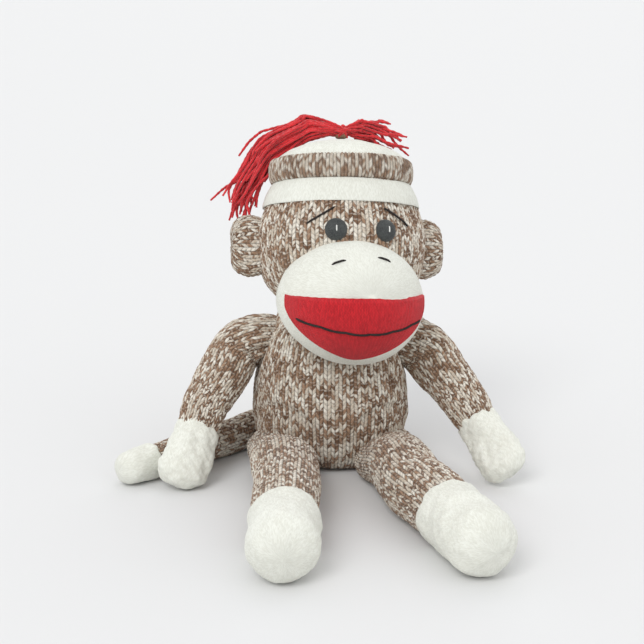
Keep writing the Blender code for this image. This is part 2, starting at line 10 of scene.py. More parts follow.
import bpy
import numpy as np
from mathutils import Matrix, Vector


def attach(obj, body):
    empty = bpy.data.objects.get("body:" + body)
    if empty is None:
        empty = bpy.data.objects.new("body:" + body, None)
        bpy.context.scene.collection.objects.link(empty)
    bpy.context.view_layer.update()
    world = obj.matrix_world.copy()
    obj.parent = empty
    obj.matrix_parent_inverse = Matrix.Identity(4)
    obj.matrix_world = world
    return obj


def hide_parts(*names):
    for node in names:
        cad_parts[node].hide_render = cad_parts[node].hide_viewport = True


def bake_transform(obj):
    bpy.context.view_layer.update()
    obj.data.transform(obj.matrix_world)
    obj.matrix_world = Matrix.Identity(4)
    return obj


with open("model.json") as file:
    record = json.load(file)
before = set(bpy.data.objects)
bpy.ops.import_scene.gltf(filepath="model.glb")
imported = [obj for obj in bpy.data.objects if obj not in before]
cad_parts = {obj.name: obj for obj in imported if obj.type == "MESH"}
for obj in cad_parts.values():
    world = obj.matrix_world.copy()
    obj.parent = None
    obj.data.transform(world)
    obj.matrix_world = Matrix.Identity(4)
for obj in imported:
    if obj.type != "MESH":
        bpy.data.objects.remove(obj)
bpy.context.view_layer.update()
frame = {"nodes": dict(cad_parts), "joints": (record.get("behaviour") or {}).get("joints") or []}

MM = 0.001
SIDES = ("left", "right")
JOINTS = {joint["name"]: joint for joint in frame["joints"]}

# Knit: a wale is one column of V stitches, a course is one row of them
WALE = 5.3
COURSE = 3.8
BODY_WALES = 64  # round the torso, the head and the hat's cuff
SLANT = 0.9  # how many courses each leg of a V stitch climbs
RELIEF = 0.9  # how proud the yarn stands
POINTS_PER_WALE = 6
POINTS_PER_COURSE = 5
CUFF_COURSE = 3.0
JERSEY_WALE = 1.7  # jersey is the fine white knit
JERSEY_COURSE = 1.5
RED_WALE = 2.0
RED_COURSE = 1.7

FLOOR = 0.25  # the lowest that cloth settles
SOFTNESS = 0.9  # the height over which it flattens
SKIN_FAINT = 0.05  # relief of the fine jersey
SAMPLES = 200  # points used only to measure how long a curve is

# How far before and after each joint a skin follows both bodies
HIP_REACH = (16, 24)
KNEE_REACH = (20, 20)
SHOULDER_REACH = (12, 18)
ELBOW_REACH = (15, 15)
TAIL_ROOT_REACH = (10, 14)
TAIL_BEND_REACH = (13, 13)

# How far from its root joint a limb's two pieces of skin meet
LEG_MEETS = 40
ARM_MEETS = 24

# White caps: points along and round a hand or foot, and how far its rounded end reaches back
CAP_ROWS = 90
CAP_COLUMNS = 132
TIP_ROWS = 48
TIP_COLUMNS = 84
FOOT_END = 22
HAND_END = 15
TAIL_TIP_END = 12

# Limbs where they are sewn to the torso
ROOT_BACK = 26.0
ROOT_IN = -9.0
ROOT_HIGH = 2.0
ROOT_FLAT = 0.55  # the leg's height beside the seat, as a share of its height farther out
ROOT_TILT = 0.3

# Muzzle
MUZZLE_SEMI = np.array([54.5, 58.0, 47.0])
MUZZLE_TUCK = math.radians(116)  # where the upper muzzle has gone inside the face
CHIN_TUCK = math.radians(77)  # where the chin turns back under
MUZZLE_DROP = 1.5
PATCH_HALF = (50.0, 42.0)  # half-width and half-height of the curve that the red patch's lower edge follows
PATCH_END = math.asin(PATCH_HALF[0] / MUZZLE_SEMI[0])
PATCH_MIDDLE = math.radians(-8.0)  # the patch is sewn on a little towards the monkey's right
PATCH_TOP = math.radians(0.3)
PATCH_CORNERS = math.radians(6.5)
PATCH_LEAN = (0.45, 0.2)  # how much straighter its lower edge runs up to its right and its left corner
PATCH_THICK = 1.2
PATCH_GAP = 0.25
PATCH_BACK = 0.4
RED_RELIEF = 0.35

CUFF_TRIM = 1.6
FOOT_ON = {"left": 0.0, "right": 6.0}  # how much farther out the white foot begins
EAR_TRIM = {"left": 3.0, "right": 1.8}

# How far the face's pieces sit from their plain places: X to the monkey's left, then Z up
EYE_SHIFT = np.array([0.0, 0.0, -2.8])
BROW_SHIFT = (0.0, -2.4)
NOSTRIL_SHIFT = {"left": (-2.8, -1.0), "right": (-0.7, -3.4)}
SMILE_SHIFT = (-0.7, -1.8)
SMILE_STRETCH = 1.05

# Pompom
STRAND = 1.0  # a strand's radius
STRAND_ROWS = 64
STRAND_SIDES = 9
STRAND_FAN = np.array([5.5, 6.0, 5.0])
STRAND_WAVE = np.array([3.4, 3.4, 3.4])
STRAND_SAG = 4.5
HEAVY_DRAPE = np.array([9.0, -4.0, -6.0])
LIGHT_DRAPE = np.array([0.0, 0.0, 0.0])

HEAVY_COUNT = 96
LIGHT_COUNT = 30
SHORTEST_SHARE = 0.5  # the shortest strand's reach along its side of the bundle

# Camera and light
TARGET = Vector((-0.0068, 0.0, 0.108))
CAMERA_DISTANCE = 1.018
CAMERA_HEIGHT = math.radians(14.5)
LENS = 74.5


def unit(vector):
    vector = np.asarray(vector, float)
    return vector / np.linalg.norm(vector, axis=-1, keepdims=True)


def smoothstep(low, high, value):
    t = np.clip((value - low) / (high - low), 0, 1)
    return t * t * (3 - 2 * t)


# ---------------------------------------------------------------- what the frame says


def vertices(node):
    return np.array([vertex.co for vertex in frame["nodes"][node].data.vertices]) / MM


def pivot(joint):
    return np.array(JOINTS[joint]["pos_m"]) / MM


def head_axes():
    """The head's X, Y and Z in the frame, as columns: X runs from eye to eye, Z is the pompom's axis."""
    across = unit(vertices("left_eye").mean(0) - vertices("right_eye").mean(0))
    up = unit(JOINTS["pompom_spin"]["axis"])
    return np.column_stack([across, np.cross(up, across), up])


NECK = pivot("neck_turn")
HEAD = head_axes()


def to_head(points):
    return (points - NECK) @ HEAD


def from_head(points):
    return points @ HEAD.T + NECK


def head_vertices(node):
    return to_head(vertices(node))


def outline(points, across, level):
    """(radius, height) up the outer side of a turned solid, read from its column of points on one side."""
    column = points[(np.abs(points[:, level]) < 0.6) & (points[:, across] > 1)]
    found = {}
    for point in column:
        height = round(point[2] * 2) / 2
        found[height] = max(found.get(height, 0), point[across])
    heights = sorted(found)
    return [(found[h], h) for h in heights]


def outer_only(profile):
    """The convex outline of a column of points, from the lowest up: the inner wall's points drop out."""
    kept = []
    for point in profile:
        while len(kept) > 1 and turn_of(kept[-2], kept[-1], point) <= 0:
            kept.pop()
        kept.append(point)
    return kept


def turn_of(first, second, third):
    """Positive where a line through three (radius, height) points turns to the left."""
    ahead = (second[0] - first[0], second[1] - first[1])
    on = (third[0] - second[0], third[1] - second[1])
    return ahead[0] * on[1] - ahead[1] * on[0]


def span(node, origin, way):
    """How far along way from origin a node begins and ends, and its greatest distance from that line."""
    offset = vertices(node) - origin
    along = offset @ way
    away = np.linalg.norm(offset - along[:, None] * way, axis=1)
    return along.min(), along.max(), away.max()


# ---------------------------------------------------------------- shapes as grids of points


def smooth_line(points, count):
    """count points spaced evenly along a smooth curve through points. Columns past the third ride along."""
    points = np.asarray(points, float)
    ends = np.vstack([2 * points[0] - points[1], points, 2 * points[-1] - points[-2]])
    t = np.linspace(0, 1, 24, endpoint=False)[:, None]
    runs = []
    for a, b, c, d in zip(ends, ends[1:], ends[2:], ends[3:]):
        bend = (2 * a - 5 * b + 4 * c - d) * t**2 + (3 * b - a - 3 * c + d) * t**3
        runs.append(0.5 * (2 * b + (c - a) * t + bend))
    line = np.vstack(runs + [points[-1:]])
    steps = np.linalg.norm(np.diff(line[:, :3], axis=0), axis=1)
    along = np.concatenate([[0], np.cumsum(steps)])
    at = np.linspace(0, along[-1], count)
    return np.column_stack([np.interp(at, along, column) for column in line.T])


def length_of(line):
    return np.linalg.norm(np.diff(line[:, :3], axis=0), axis=1).sum()


def turned(profile, depth, rows, columns):
    """A (radius, height) profile turned about Z, depth times as deep as wide, from its back round."""
    line = smooth_line([(radius, 0, height) for radius, height in profile], rows)
    turn = np.linspace(0, 2 * np.pi, columns, endpoint=False)
    x = -line[:, 0, None] * np.sin(turn)
    y = line[:, 0, None] * np.cos(turn) * depth
    z = np.broadcast_to(line[:, 2, None], x.shape)
    return np.stack([x, y, z], axis=-1)


def swept(line, columns, front):
    """A tube round a line whose columns are x, y, z and its two half-widths."""
    tangent = unit(np.gradient(line[:, :3], axis=0))
    side = unit(np.cross(front, tangent))
    up = np.cross(tangent, side)
    turn = np.linspace(0, 2 * np.pi, columns, endpoint=False)[None, :, None]
    wide = line[:, None, 3, None] * np.cos(turn) * side[:, None]
    high = line[:, None, 4, None] * np.sin(turn) * up[:, None]
    return line[:, None, :3] + wide + high


def normals(points):
    """Outward normals of a grid that closes on itself sideways."""
    around = np.roll(points, -1, 1) - np.roll(points, 1, 1)
    along = np.gradient(points, axis=0)
    normal = np.cross(around, along)
    size = np.linalg.norm(normal, axis=-1, keepdims=True)
    return normal / np.maximum(size, 1e-9)


def facing_out(form, away, normal):
    """The grid, wound the other way round if its normals point inward: away points outward."""
    inward = np.mean(np.sum(away * normal, -1)) < 0
    return form[:, ::-1] if inward else form


def noise(points, scale, seed, octaves=3):
    """Smooth noise of about -1 to 1 made of seeded waves, the longest of them scale mm."""
    rng = np.random.default_rng(seed)
    total = np.zeros(points.shape[:-1])
    for octave in range(octaves):
        for _ in range(4):
            way = unit(rng.normal(size=3)) * 2 * np.pi * 2**octave / scale
            total += np.sin(points @ way + rng.uniform(0, 2 * np.pi)) / 2**octave
    return total / 3


def lumps(points, height, scale, seed):
    """Uneven stuffing: the surface swells and sinks."""
    return points + normals(points) * (noise(points, scale, seed) * height)[..., None]


def distance_to(points, line):
    """Distance of each point from a polyline, less the line's half-width there (its fourth column)."""
    best = np.full(points.shape[:-1], 1e9)
    for a, b in zip(line, line[1:]):
        run = b[:3] - a[:3]
        t = np.clip((points - a[:3]) @ run / (run @ run), 0, 1)
        away = np.linalg.norm(points - a[:3] - t[..., None] * run, axis=-1)
        best = np.minimum(best, away - (a[3] + (b[3] - a[3]) * t))
    return best


def crease(points, line, depth, reach):
    """The surface sinks where a limb is sewn on, so that a soft dark line runs round the seam."""
    gap = distance_to(points, line)
    sink = depth * (1 - smoothstep(0, reach, gap))
    return points - normals(points) * sink[..., None]


def pleats(points, strength, count, seed):
    """Gathers: ridges along the tube, each row as strong as strength says."""
    rng = np.random.default_rng(seed)
    rows, columns = points.shape[:2]
    turn = np.linspace(0, 2 * np.pi, columns, endpoint=False)
    wave = np.zeros((rows, columns))
    drift = np.linspace(0, 1, rows)[:, None]
    for k in range(count - 2, count + 3):
        wave += np.sin(k * turn + rng.uniform(0, 2 * np.pi) + drift * rng.uniform(-2, 2))
    lift = wave / 2.5 * np.asarray(strength)[:, None]
    return points + normals(points) * lift[..., None]


def settle(points):
    """Cloth flattens softly against the floor."""
    points = points.copy()
    over = (points[..., 2] - FLOOR) / SOFTNESS
    points[..., 2] = FLOOR + SOFTNESS * np.logaddexp(0, over)
    return points


# ---------------------------------------------------------------- knitting


def stitch_height(wales, courses):
    """Height, 0 to 1, of stocking stitch: each wale is a column of V stitches."""
    side = np.abs(wales - np.floor(wales) - 0.5) * 2
    climb = courses - SLANT * side
    along = climb - np.floor(climb)
    across = np.clip(1 - (2 * side - 1) ** 2, 0, 1) ** 0.6
    return across * (0.3 + 0.7 * np.sin(np.pi * along) ** 0.5)


def knitted(points, wales, course=COURSE, relief=RELIEF, start=0.0):
    """A grid with its stitches: (points, wale of each column, course of each row)."""
    columns = points.shape[1]
    steps = np.linalg.norm(np.diff(points, axis=0), axis=-1).mean(axis=1)
    row_course = start + np.concatenate([[0], np.cumsum(steps)]) / course
    column_wale = np.linspace(0, wales, columns, endpoint=False)
    height = stitch_height(column_wale[None], row_course[:, None])
    raised = settle(points + normals(points) * (height * relief)[..., None])
    return raised, np.append(column_wale, wales), row_course


def rows_for(length, course=COURSE):
    return max(8, int(length / course * POINTS_PER_COURSE))


def mesh_piece(name, grids, material, loop=False):
    """One object from closed grids of quads, with a fan at both ends of each unless it is a loop."""
    points, corners, knit = [], [], []
    base = 0
    for grid, wales, courses in grids:
        rows, columns = grid.shape[:2]
        points.append(grid.reshape(-1, 3))
        row = np.arange(rows if loop else rows - 1)[:, None]
        column = np.arange(columns)[None]
        after = (column + 1) % columns
        above = (row + 1) % rows
        below = row * columns
        beyond = above * columns
        quad = [below + column, below + after, beyond + after, beyond + column]
        corners.append((base + np.stack(quad, axis=-1)).reshape(-1, 4))
        low = np.broadcast_to(courses[row], quad[0].shape)
        next_course = courses[row] + 1 if loop else courses[row + 1]
        high = np.broadcast_to(next_course, quad[0].shape)
        left = np.broadcast_to(wales[column], quad[0].shape)
        right = np.broadcast_to(wales[column + 1], quad[0].shape)
        knit.append(np.stack([left, low, right, low, right, high, left, high], axis=-1).reshape(-1, 2))
        base += rows * columns
    quads = np.vstack(corners)
    coordinates = np.vstack(knit)
    fans, fan_knit = [], []
    if not loop:
        first = 0
        for grid, wales, courses in grids:
            rows, columns = grid.shape[:2]
            column = np.arange(columns)
            after = (column + 1) % columns
            for row, turn, course in ((0, 1, courses[0]), (rows - 1, -1, courses[-1])):
                points.append(grid[row].mean(axis=0)[None])
                ring = first + row * columns
                rim = [ring + after, ring + column][::turn]
                fans.append(np.stack([np.full(columns, base), *rim], axis=-1))
                flat = np.full((columns * 3, 2), course)
                flat[:, 0] = np.repeat(wales[:-1], 3)
                fan_knit.append(flat)
                base += 1
            first += rows * columns
    triangles = np.vstack(fans) if fans else np.zeros((0, 3), int)
    mesh = bpy.data.meshes.new(name)
    places = np.vstack(points) * MM
    loops = np.concatenate([quads.ravel(), triangles.ravel()])
    mesh.vertices.add(len(places))
    mesh.vertices.foreach_set("co", places.astype(np.float32).ravel())
    mesh.loops.add(len(loops))
    mesh.loops.foreach_set("vertex_index", loops.astype(np.int32))
    sizes = np.concatenate([np.full(len(quads), 4), np.full(len(triangles), 3)])
    mesh.polygons.add(len(sizes))
    mesh.polygons.foreach_set("loop_start", (np.cumsum(sizes) - sizes).astype(np.int32))
    mesh.polygons.foreach_set("use_smooth", np.ones(len(sizes), bool))
    mesh.update(calc_edges=True)
    all_knit = np.vstack([coordinates, *fan_knit]) if fan_knit else coordinates
    attribute = mesh.attributes.new("knit", "FLOAT_VECTOR", "CORNER")
    values = np.column_stack([all_knit, np.zeros(len(all_knit))])
    attribute.data.foreach_set("vector", values.astype(np.float32).ravel())
    if not loop:
        keep_rims_sharp(mesh, len(quads))
    mesh.materials.append(material)
    piece = bpy.data.objects.new(name, mesh)
    bpy.context.scene.collection.objects.link(piece)
    return piece


def keep_rims_sharp(mesh, quads):
    """The fans that close a piece don't bend the shading of its sides."""
    ends = np.zeros(len(mesh.edges) * 2, np.int32)
    mesh.edges.foreach_get("vertices", ends)
    ends = ends.reshape(-1, 2)
    rim = np.zeros(len(mesh.vertices), bool)
    for polygon in range(quads, len(mesh.polygons)):
        rim[list(mesh.polygons[polygon].vertices[1:])] = True
    sharp = rim[ends].all(axis=1)
    mesh.edges.foreach_set("use_edge_sharp", sharp)


# ---------------------------------------------------------------- materials


def srgb(red, green, blue):
    """A colour given as 0 to 255, as the shader wants it."""
    return tuple(((value / 255 + 0.055) / 1.055) ** 2.4 for value in (red, green, blue)) + (1.0,)


class Shader:
    """A material's nodes, with short calls for the sums that the knitting needs."""

    def __init__(self, name, roughness, sheen=0.0):
        self.material = bpy.data.materials.new(name)
        self.material.use_nodes = True
        self.tree = self.material.node_tree
        self.surface = self.tree.nodes["Principled BSDF"]
        self.surface.inputs["Roughness"].default_value = roughness
        self.surface.inputs["Sheen Weight"].default_value = sheen
        self.surface.inputs["Sheen Roughness"].default_value = 0.6
        self.surface.inputs["Specular IOR Level"].default_value = 0.25

    def feed(self, socket, value):
        if isinstance(value, bpy.types.NodeSocket):
            self.tree.links.new(value, socket)
        else:
            socket.default_value = value

    def math(self, operation, *values):
        node = self.tree.nodes.new("ShaderNodeMath")
        node.operation = operation
        for socket, value in zip(node.inputs, values):
            self.feed(socket, value)
        return node.outputs[0]

    def add(self, *values):
        return self.math("ADD", *values)

    def times(self, *values):
        return self.math("MULTIPLY", *values)

    def fraction(self, value):
        return self.math("FRACT", value)

    def knit(self):
        """The stitch coordinates of the surface: wale and course."""
        node = self.tree.nodes.new("ShaderNodeAttribute")
        node.attribute_name = "knit"
        split = self.tree.nodes.new("ShaderNodeSeparateXYZ")
        self.feed(split.inputs[0], node.outputs["Vector"])
        return split.outputs[0], split.outputs[1]

    def object_place(self, scale):
        node = self.tree.nodes.new("ShaderNodeTexCoord")
        scaled = self.tree.nodes.new("ShaderNodeVectorMath")
        scaled.operation = "SCALE"
        self.feed(scaled.inputs[0], node.outputs["Object"])
        scaled.inputs["Scale"].default_value = scale
        return scaled.outputs[0]

    def vector(self, x, y, z=0.0):
        node = self.tree.nodes.new("ShaderNodeCombineXYZ")
        for socket, value in zip(node.inputs, (x, y, z)):
            self.feed(socket, value)
        return node.outputs[0]

    def dice(self, vector):
        node = self.tree.nodes.new("ShaderNodeTexWhiteNoise")
        self.feed(node.inputs["Vector"], vector)
        return node.outputs["Value"]

    def noise(self, vector, scale, detail=2.0):
        node = self.tree.nodes.new("ShaderNodeTexNoise")
        self.feed(node.inputs["Vector"], vector)
        node.inputs["Scale"].default_value = scale
        node.inputs["Detail"].default_value = detail
        return node.outputs[0]

    def between(self, value, low, high, first=0.0, last=1.0):
        node = self.tree.nodes.new("ShaderNodeMapRange")
        node.interpolation_type = "SMOOTHSTEP"
        for socket, number in zip(node.inputs, (value, low, high, first, last)):
            self.feed(socket, number)
        return node.outputs[0]

    def mix(self, factor, first, last, blend="MIX"):
        node = self.tree.nodes.new("ShaderNodeMix")
        node.data_type = "RGBA"
        node.blend_type = blend
        self.feed(node.inputs[0], factor)
        self.feed(node.inputs[6], first)
        self.feed(node.inputs[7], last)
        return node.outputs[2]

    def shade(self, colour, factor):
        """A colour times a factor."""
        return self.mix(1.0, colour, self.vector(factor, factor, factor), "MULTIPLY")

    def colour(self, value):
        self.feed(self.surface.inputs["Base Color"], value)

    def bump(self, height, distance, strength=1.0):
        node = self.tree.nodes.new("ShaderNodeBump")
        node.inputs["Strength"].default_value = strength
        node.inputs["Distance"].default_value = distance * MM
        self.feed(node.inputs["Height"], height)
        self.feed(self.surface.inputs["Normal"], node.outputs[0])

    def stitch(self):
        """Sums shared by every knit: height, half wale, row, place along it, side, wale and course."""
        wale, course = self.knit()
        side = self.times(self.math("ABSOLUTE", self.add(self.fraction(wale), -0.5)), 2.0)
        climb = self.math("SUBTRACT", course, self.times(side, SLANT))
        along = self.fraction(climb)
        rise = self.math("POWER", self.math("SINE", self.times(along, math.pi)), 0.5)
        off = self.add(self.times(side, 2.0), -1.0)
        inner = self.math("MAXIMUM", self.math("SUBTRACT", 1.0, self.times(off, off)), 0.0)
        across = self.math("POWER", inner, 0.6)
        height = self.times(across, self.add(self.times(rise, 0.7), 0.3))
        half = self.math("FLOOR", self.times(wale, 2.0))
        return height, half, self.math("FLOOR", climb), along, side, wale, course


def marl_material():
    """Brown and cream two-ply yarn: each half stitch shows more of the one or the other ply; the dips between
    stitches get painted shade.
    """
    shader = Shader("marl_knit_look", 0.93, 0.12)
    height, half, row, along, side, wale, course = shader.stitch()
    pick = shader.dice(shader.vector(half, row, 0.5))
    other = shader.dice(shader.vector(half, row, 7.5))
    cluster = shader.noise(shader.vector(shader.times(wale, 0.45), shader.times(course, 0.3)), 1.0)
    tone = shader.add(pick, shader.times(shader.add(cluster, -0.5), 0.55))
    light = shader.between(tone, 0.36, 0.56)
    twist = shader.add(shader.add(along, shader.times(side, 0.8)), other)
    ply = shader.math("SINE", shader.times(twist, 2 * math.pi))
    light = shader.between(shader.add(light, shader.times(ply, 0.4)), 0.1, 0.9)
    brown = shader.mix(other, srgb(108, 80, 60), srgb(158, 128, 104))
    cream = shader.mix(other, srgb(232, 226, 214), srgb(196, 182, 164))
    yarn = shader.mix(light, brown, cream)
    fibre = shader.noise(shader.vector(shader.times(wale, 9.0), shader.times(course, 2.4)), 1.0, 3.0)
    yarn = shader.shade(yarn, shader.between(fibre, 0.2, 0.8, 0.86, 1.08))
    # Painted shade: the yarn's colour darkens towards the dips between stitches.
    shader.colour(shader.shade(yarn, shader.between(height, 0.1, 0.8, 0.38, 1.0)))
    shader.bump(shader.add(height, shader.times(fibre, 0.25)), 0.5, 0.8)
    return shader.material


def jersey_material(name, pale, dull, depth):
    """A fine single-colour knit, seen as faint upright lines; depth sets the painted shade in the dips
    between stitches.
    """
    shader = Shader(name, 0.9, 0.15)
    height, half, row, *_ = shader.stitch()
    pick = shader.dice(shader.vector(half, row, 3.5))
    wide = shader.noise(shader.object_place(38.0), 1.0, 4.0)
    mixed = shader.add(shader.times(pick, 0.45), shader.times(wide, 0.55))
    yarn = shader.mix(shader.between(mixed, 0.2, 0.8), dull, pale)
    # Painted shade: depth is how much darker the dips between stitches are painted.
    shader.colour(shader.shade(yarn, shader.between(height, 0.0, 0.7, 1.0 - depth, 1.0)))
    fuzz = shader.noise(shader.object_place(900.0), 1.0, 3.0)
    shader.bump(shader.add(height, shader.times(fuzz, 0.5)), 0.25, 0.6)
    return shader.material


def fibre_material(name, pale, dull, roughness, grain, sheen=0.0):
    """Spun thread, yarn, felt: colour and bump from fine noise in the piece's own space."""
    shader = Shader(name, roughness, sheen)
    fine = shader.noise(shader.object_place(grain), 1.0, 4.0)
    broad = shader.noise(shader.object_place(grain / 12), 1.0, 2.0)
    tone = shader.between(shader.add(fine, shader.times(broad, 0.6)), 0.45, 1.1)
    shader.colour(shader.mix(tone, dull, pale))
    shader.bump(fine, 0.3, 0.7)
    return shader.material


MARL = marl_material()
# The last number is how much painted shade darkens the dips between stitches.
WHITE = jersey_material("white_jersey_look", srgb(234, 235, 226), srgb(219, 219, 208), 0.12)
RED = jersey_material("red_knit_look", srgb(204, 30, 40), srgb(176, 20, 31), 0.5)
BLACK = fibre_material("black_thread_look", srgb(52, 46, 44), srgb(22, 19, 19), 0.75, 2200)
EYE = fibre_material("eye_look", srgb(74, 77, 76), srgb(38, 40, 41), 0.62, 1500, 0.1)
YARN = fibre_material("red_yarn_look", srgb(226, 42, 48), srgb(150, 12, 24), 0.85, 1300, 0.3)
# Painted highlight: the white glint on each eye.
GLINT_WHITE = fibre_material("painted_glint_look", srgb(240, 240, 235), srgb(200, 200, 196), 0.7, 2200)
CORD = fibre_material("seam_thread_look", srgb(150, 120, 98), srgb(96, 70, 54), 0.85, 1800)


# ---------------------------------------------------------------- limbs


def limb_line(points, radii):
    """The middle of a limb with its half-widths, one row per point of the stitches."""
    stations = np.column_stack([np.array(points), np.array(radii)])
    length = length_of(smooth_line(stations, SAMPLES))
    return smooth_line(stations, rows_for(length)), length


def along_line(line):
    return np.concatenate([[0], np.cumsum(np.linalg.norm(np.diff(line[:, :3], axis=0), axis=1))])


def round_end(base, way, wide, high, length):
    """Stations that close a cap: half an ellipse, length long, beyond base."""
    angles = np.linspace(0, np.pi / 2, 7)[1:]
    spots = [base + way * length * math.sin(a) for a in angles]
    shares = [max(math.cos(a), 0.03) for a in angles]
    return [(*spot, wide * share, high * share) for spot, share in zip(spots, shares)]


def sewn_cap(name, line, columns, front, seed, crumple, edge, body, nodes):
    """A white hand, foot or tail tip: a bag sewn on over the limb's end, its edge turned in by hand."""
    points = swept(line, columns, front)
    rng = np.random.default_rng(seed)
    way = unit(line[1, :3] - line[0, :3])
    turn = np.linspace(0, 2 * np.pi, columns, endpoint=False)
    waves = [(k, rng.uniform(0.5, 1.0), rng.uniform(0, 6.28)) for k in (2, 3, 5, 8, 11)]
    ragged = sum(a * np.sin(k * turn + phase) for k, a, phase in waves) * edge / 2.2
    fade = np.exp(-along_line(line) / 7.0)
    points = points + fade[:, None, None] * ragged[None, :, None] * way
    points = lumps(points, crumple, 26.0, seed)
    points = lumps(points, crumple * 0.4, 9.0, seed + 1)
    wales = max(12, round(2 * math.pi * line[:, 3:5].mean() / JERSEY_WALE))
    grid = knitted(points, wales, JERSEY_COURSE, SKIN_FAINT)
    piece = mesh_piece(name, [grid], WHITE)
    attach(piece, body)
    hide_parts(*nodes)


def two_pieces(names, points, wales, cut, bodies, reaches, nodes):
    """A knitted tube as two pieces that meet at the row cut."""
    grid, column_wale, row_course = knitted(points, wales)
    parts = (slice(0, cut + 1), slice(cut, None))
    for name, part, pair, reach, stands in zip(names, parts, bodies, reaches, nodes):
        piece = mesh_piece(name, [(grid[part], column_wale, row_course[part])], MARL)
        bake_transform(piece)
        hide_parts(*stands)


def reach_across(joint, before, after, reach):
    """Where a skin starts and stops following both bodies of a joint."""
    return joint - before * reach[0], joint + after * reach[1]


def nearest_row(line, place):
    return int(np.argmin(np.linalg.norm(line[:, :3] - place, axis=1)))


def leg(side):
    sign = 1 if side == "left" else -1
    hip, knee = pivot(f"{side}_hip_swing"), pivot(f"{side}_knee_bend")
    thigh = unit(knee - hip)
    shin = unit(vertices(f"{side}_foot_cover").mean(0) - knee)
    ankle, toe, _ = span(f"{side}_foot_cover", knee, shin)
    wide = span(f"{side}_thigh_cover", hip, thigh)[2] + 0.6
    knee_wide = span(f"{side}_shin_cover", knee, shin)[2] + 0.4
    root = hip - thigh * ROOT_BACK + np.array([ROOT_IN * sign, 0, ROOT_HIGH])
    middle = hip + thigh * LEG_MEETS
    ankle += FOOT_ON[side]
    points = [root, hip, middle, knee, knee + shin * 30, knee + shin * (ankle + 8)]
    radii = [(19, 19), (wide, wide), (wide, wide), (knee_wide, knee_wide)]
    radii += [(knee_wide, knee_wide), (knee_wide - 2.4, knee_wide - 2.4)]
    line, length = limb_line(points, radii)
    wales = round(2 * math.pi * wide / WALE)
    form = swept(line, wales * POINTS_PER_WALE, (0, 0, 1))
    at = along_line(line)
    ahead = -line[:, None, 1]
    tilt = ROOT_TILT * (1 - smoothstep(45, 90, ahead))
    form[..., 2] += tilt * sign * (form[..., 0] - line[:, None, 0])
    form[..., 2] *= ROOT_FLAT + (1 - ROOT_FLAT) * smoothstep(20, 100, ahead)
    form = lumps(form, 0.9, 46, 11 + sign)
    form = pleats(form, 0.5 * np.exp(-((at - 34) / 12) ** 2), 14, 21 + sign)
    form = pleats(form, 0.45 * np.exp(-(length - at) / 9), 12, 31 + sign)
    cut = nearest_row(line, middle)
    two_pieces(
        (f"{side}_thigh_skin", f"{side}_leg_skin"),
        form,
        wales,
        cut,
        (("torso", f"{side}_thigh"), (f"{side}_thigh", f"{side}_shin")),
        (reach_across(hip, thigh, thigh, HIP_REACH), reach_across(knee, thigh, shin, KNEE_REACH)),
        (
            (f"{side}_thigh_cover", f"{side}_thigh_filling"),
            (f"{side}_shin_cover", f"{side}_shin_filling"),
        ),
    )
    start = knee + shin * (ankle - 1.5)
    end = knee + shin * toe
    full = knee_wide + 0.6
    foot = [
        (*start, full - 2.6, full - 2.6),
        (*(start + shin * 2.0), full + 0.5, full + 0.5),
        (*(start + shin * 14), full + 0.3, full + 0.2),
        (*(end - shin * 24), full + 0.2, full),
    ]
    foot += round_end(end - shin * FOOT_END, shin, full + 0.2, full, FOOT_END)
    foot_line = smooth_line(foot, CAP_ROWS)
    sewn_cap(
        f"{side}_foot_skin", foot_line, CAP_COLUMNS, (0, 0, 1), 41 + sign, 0.7, 1.4,
        f"{side}_shin", [f"{side}_foot_cover"],
    )
    return np.column_stack([line[:, :3], line[:, 3]])


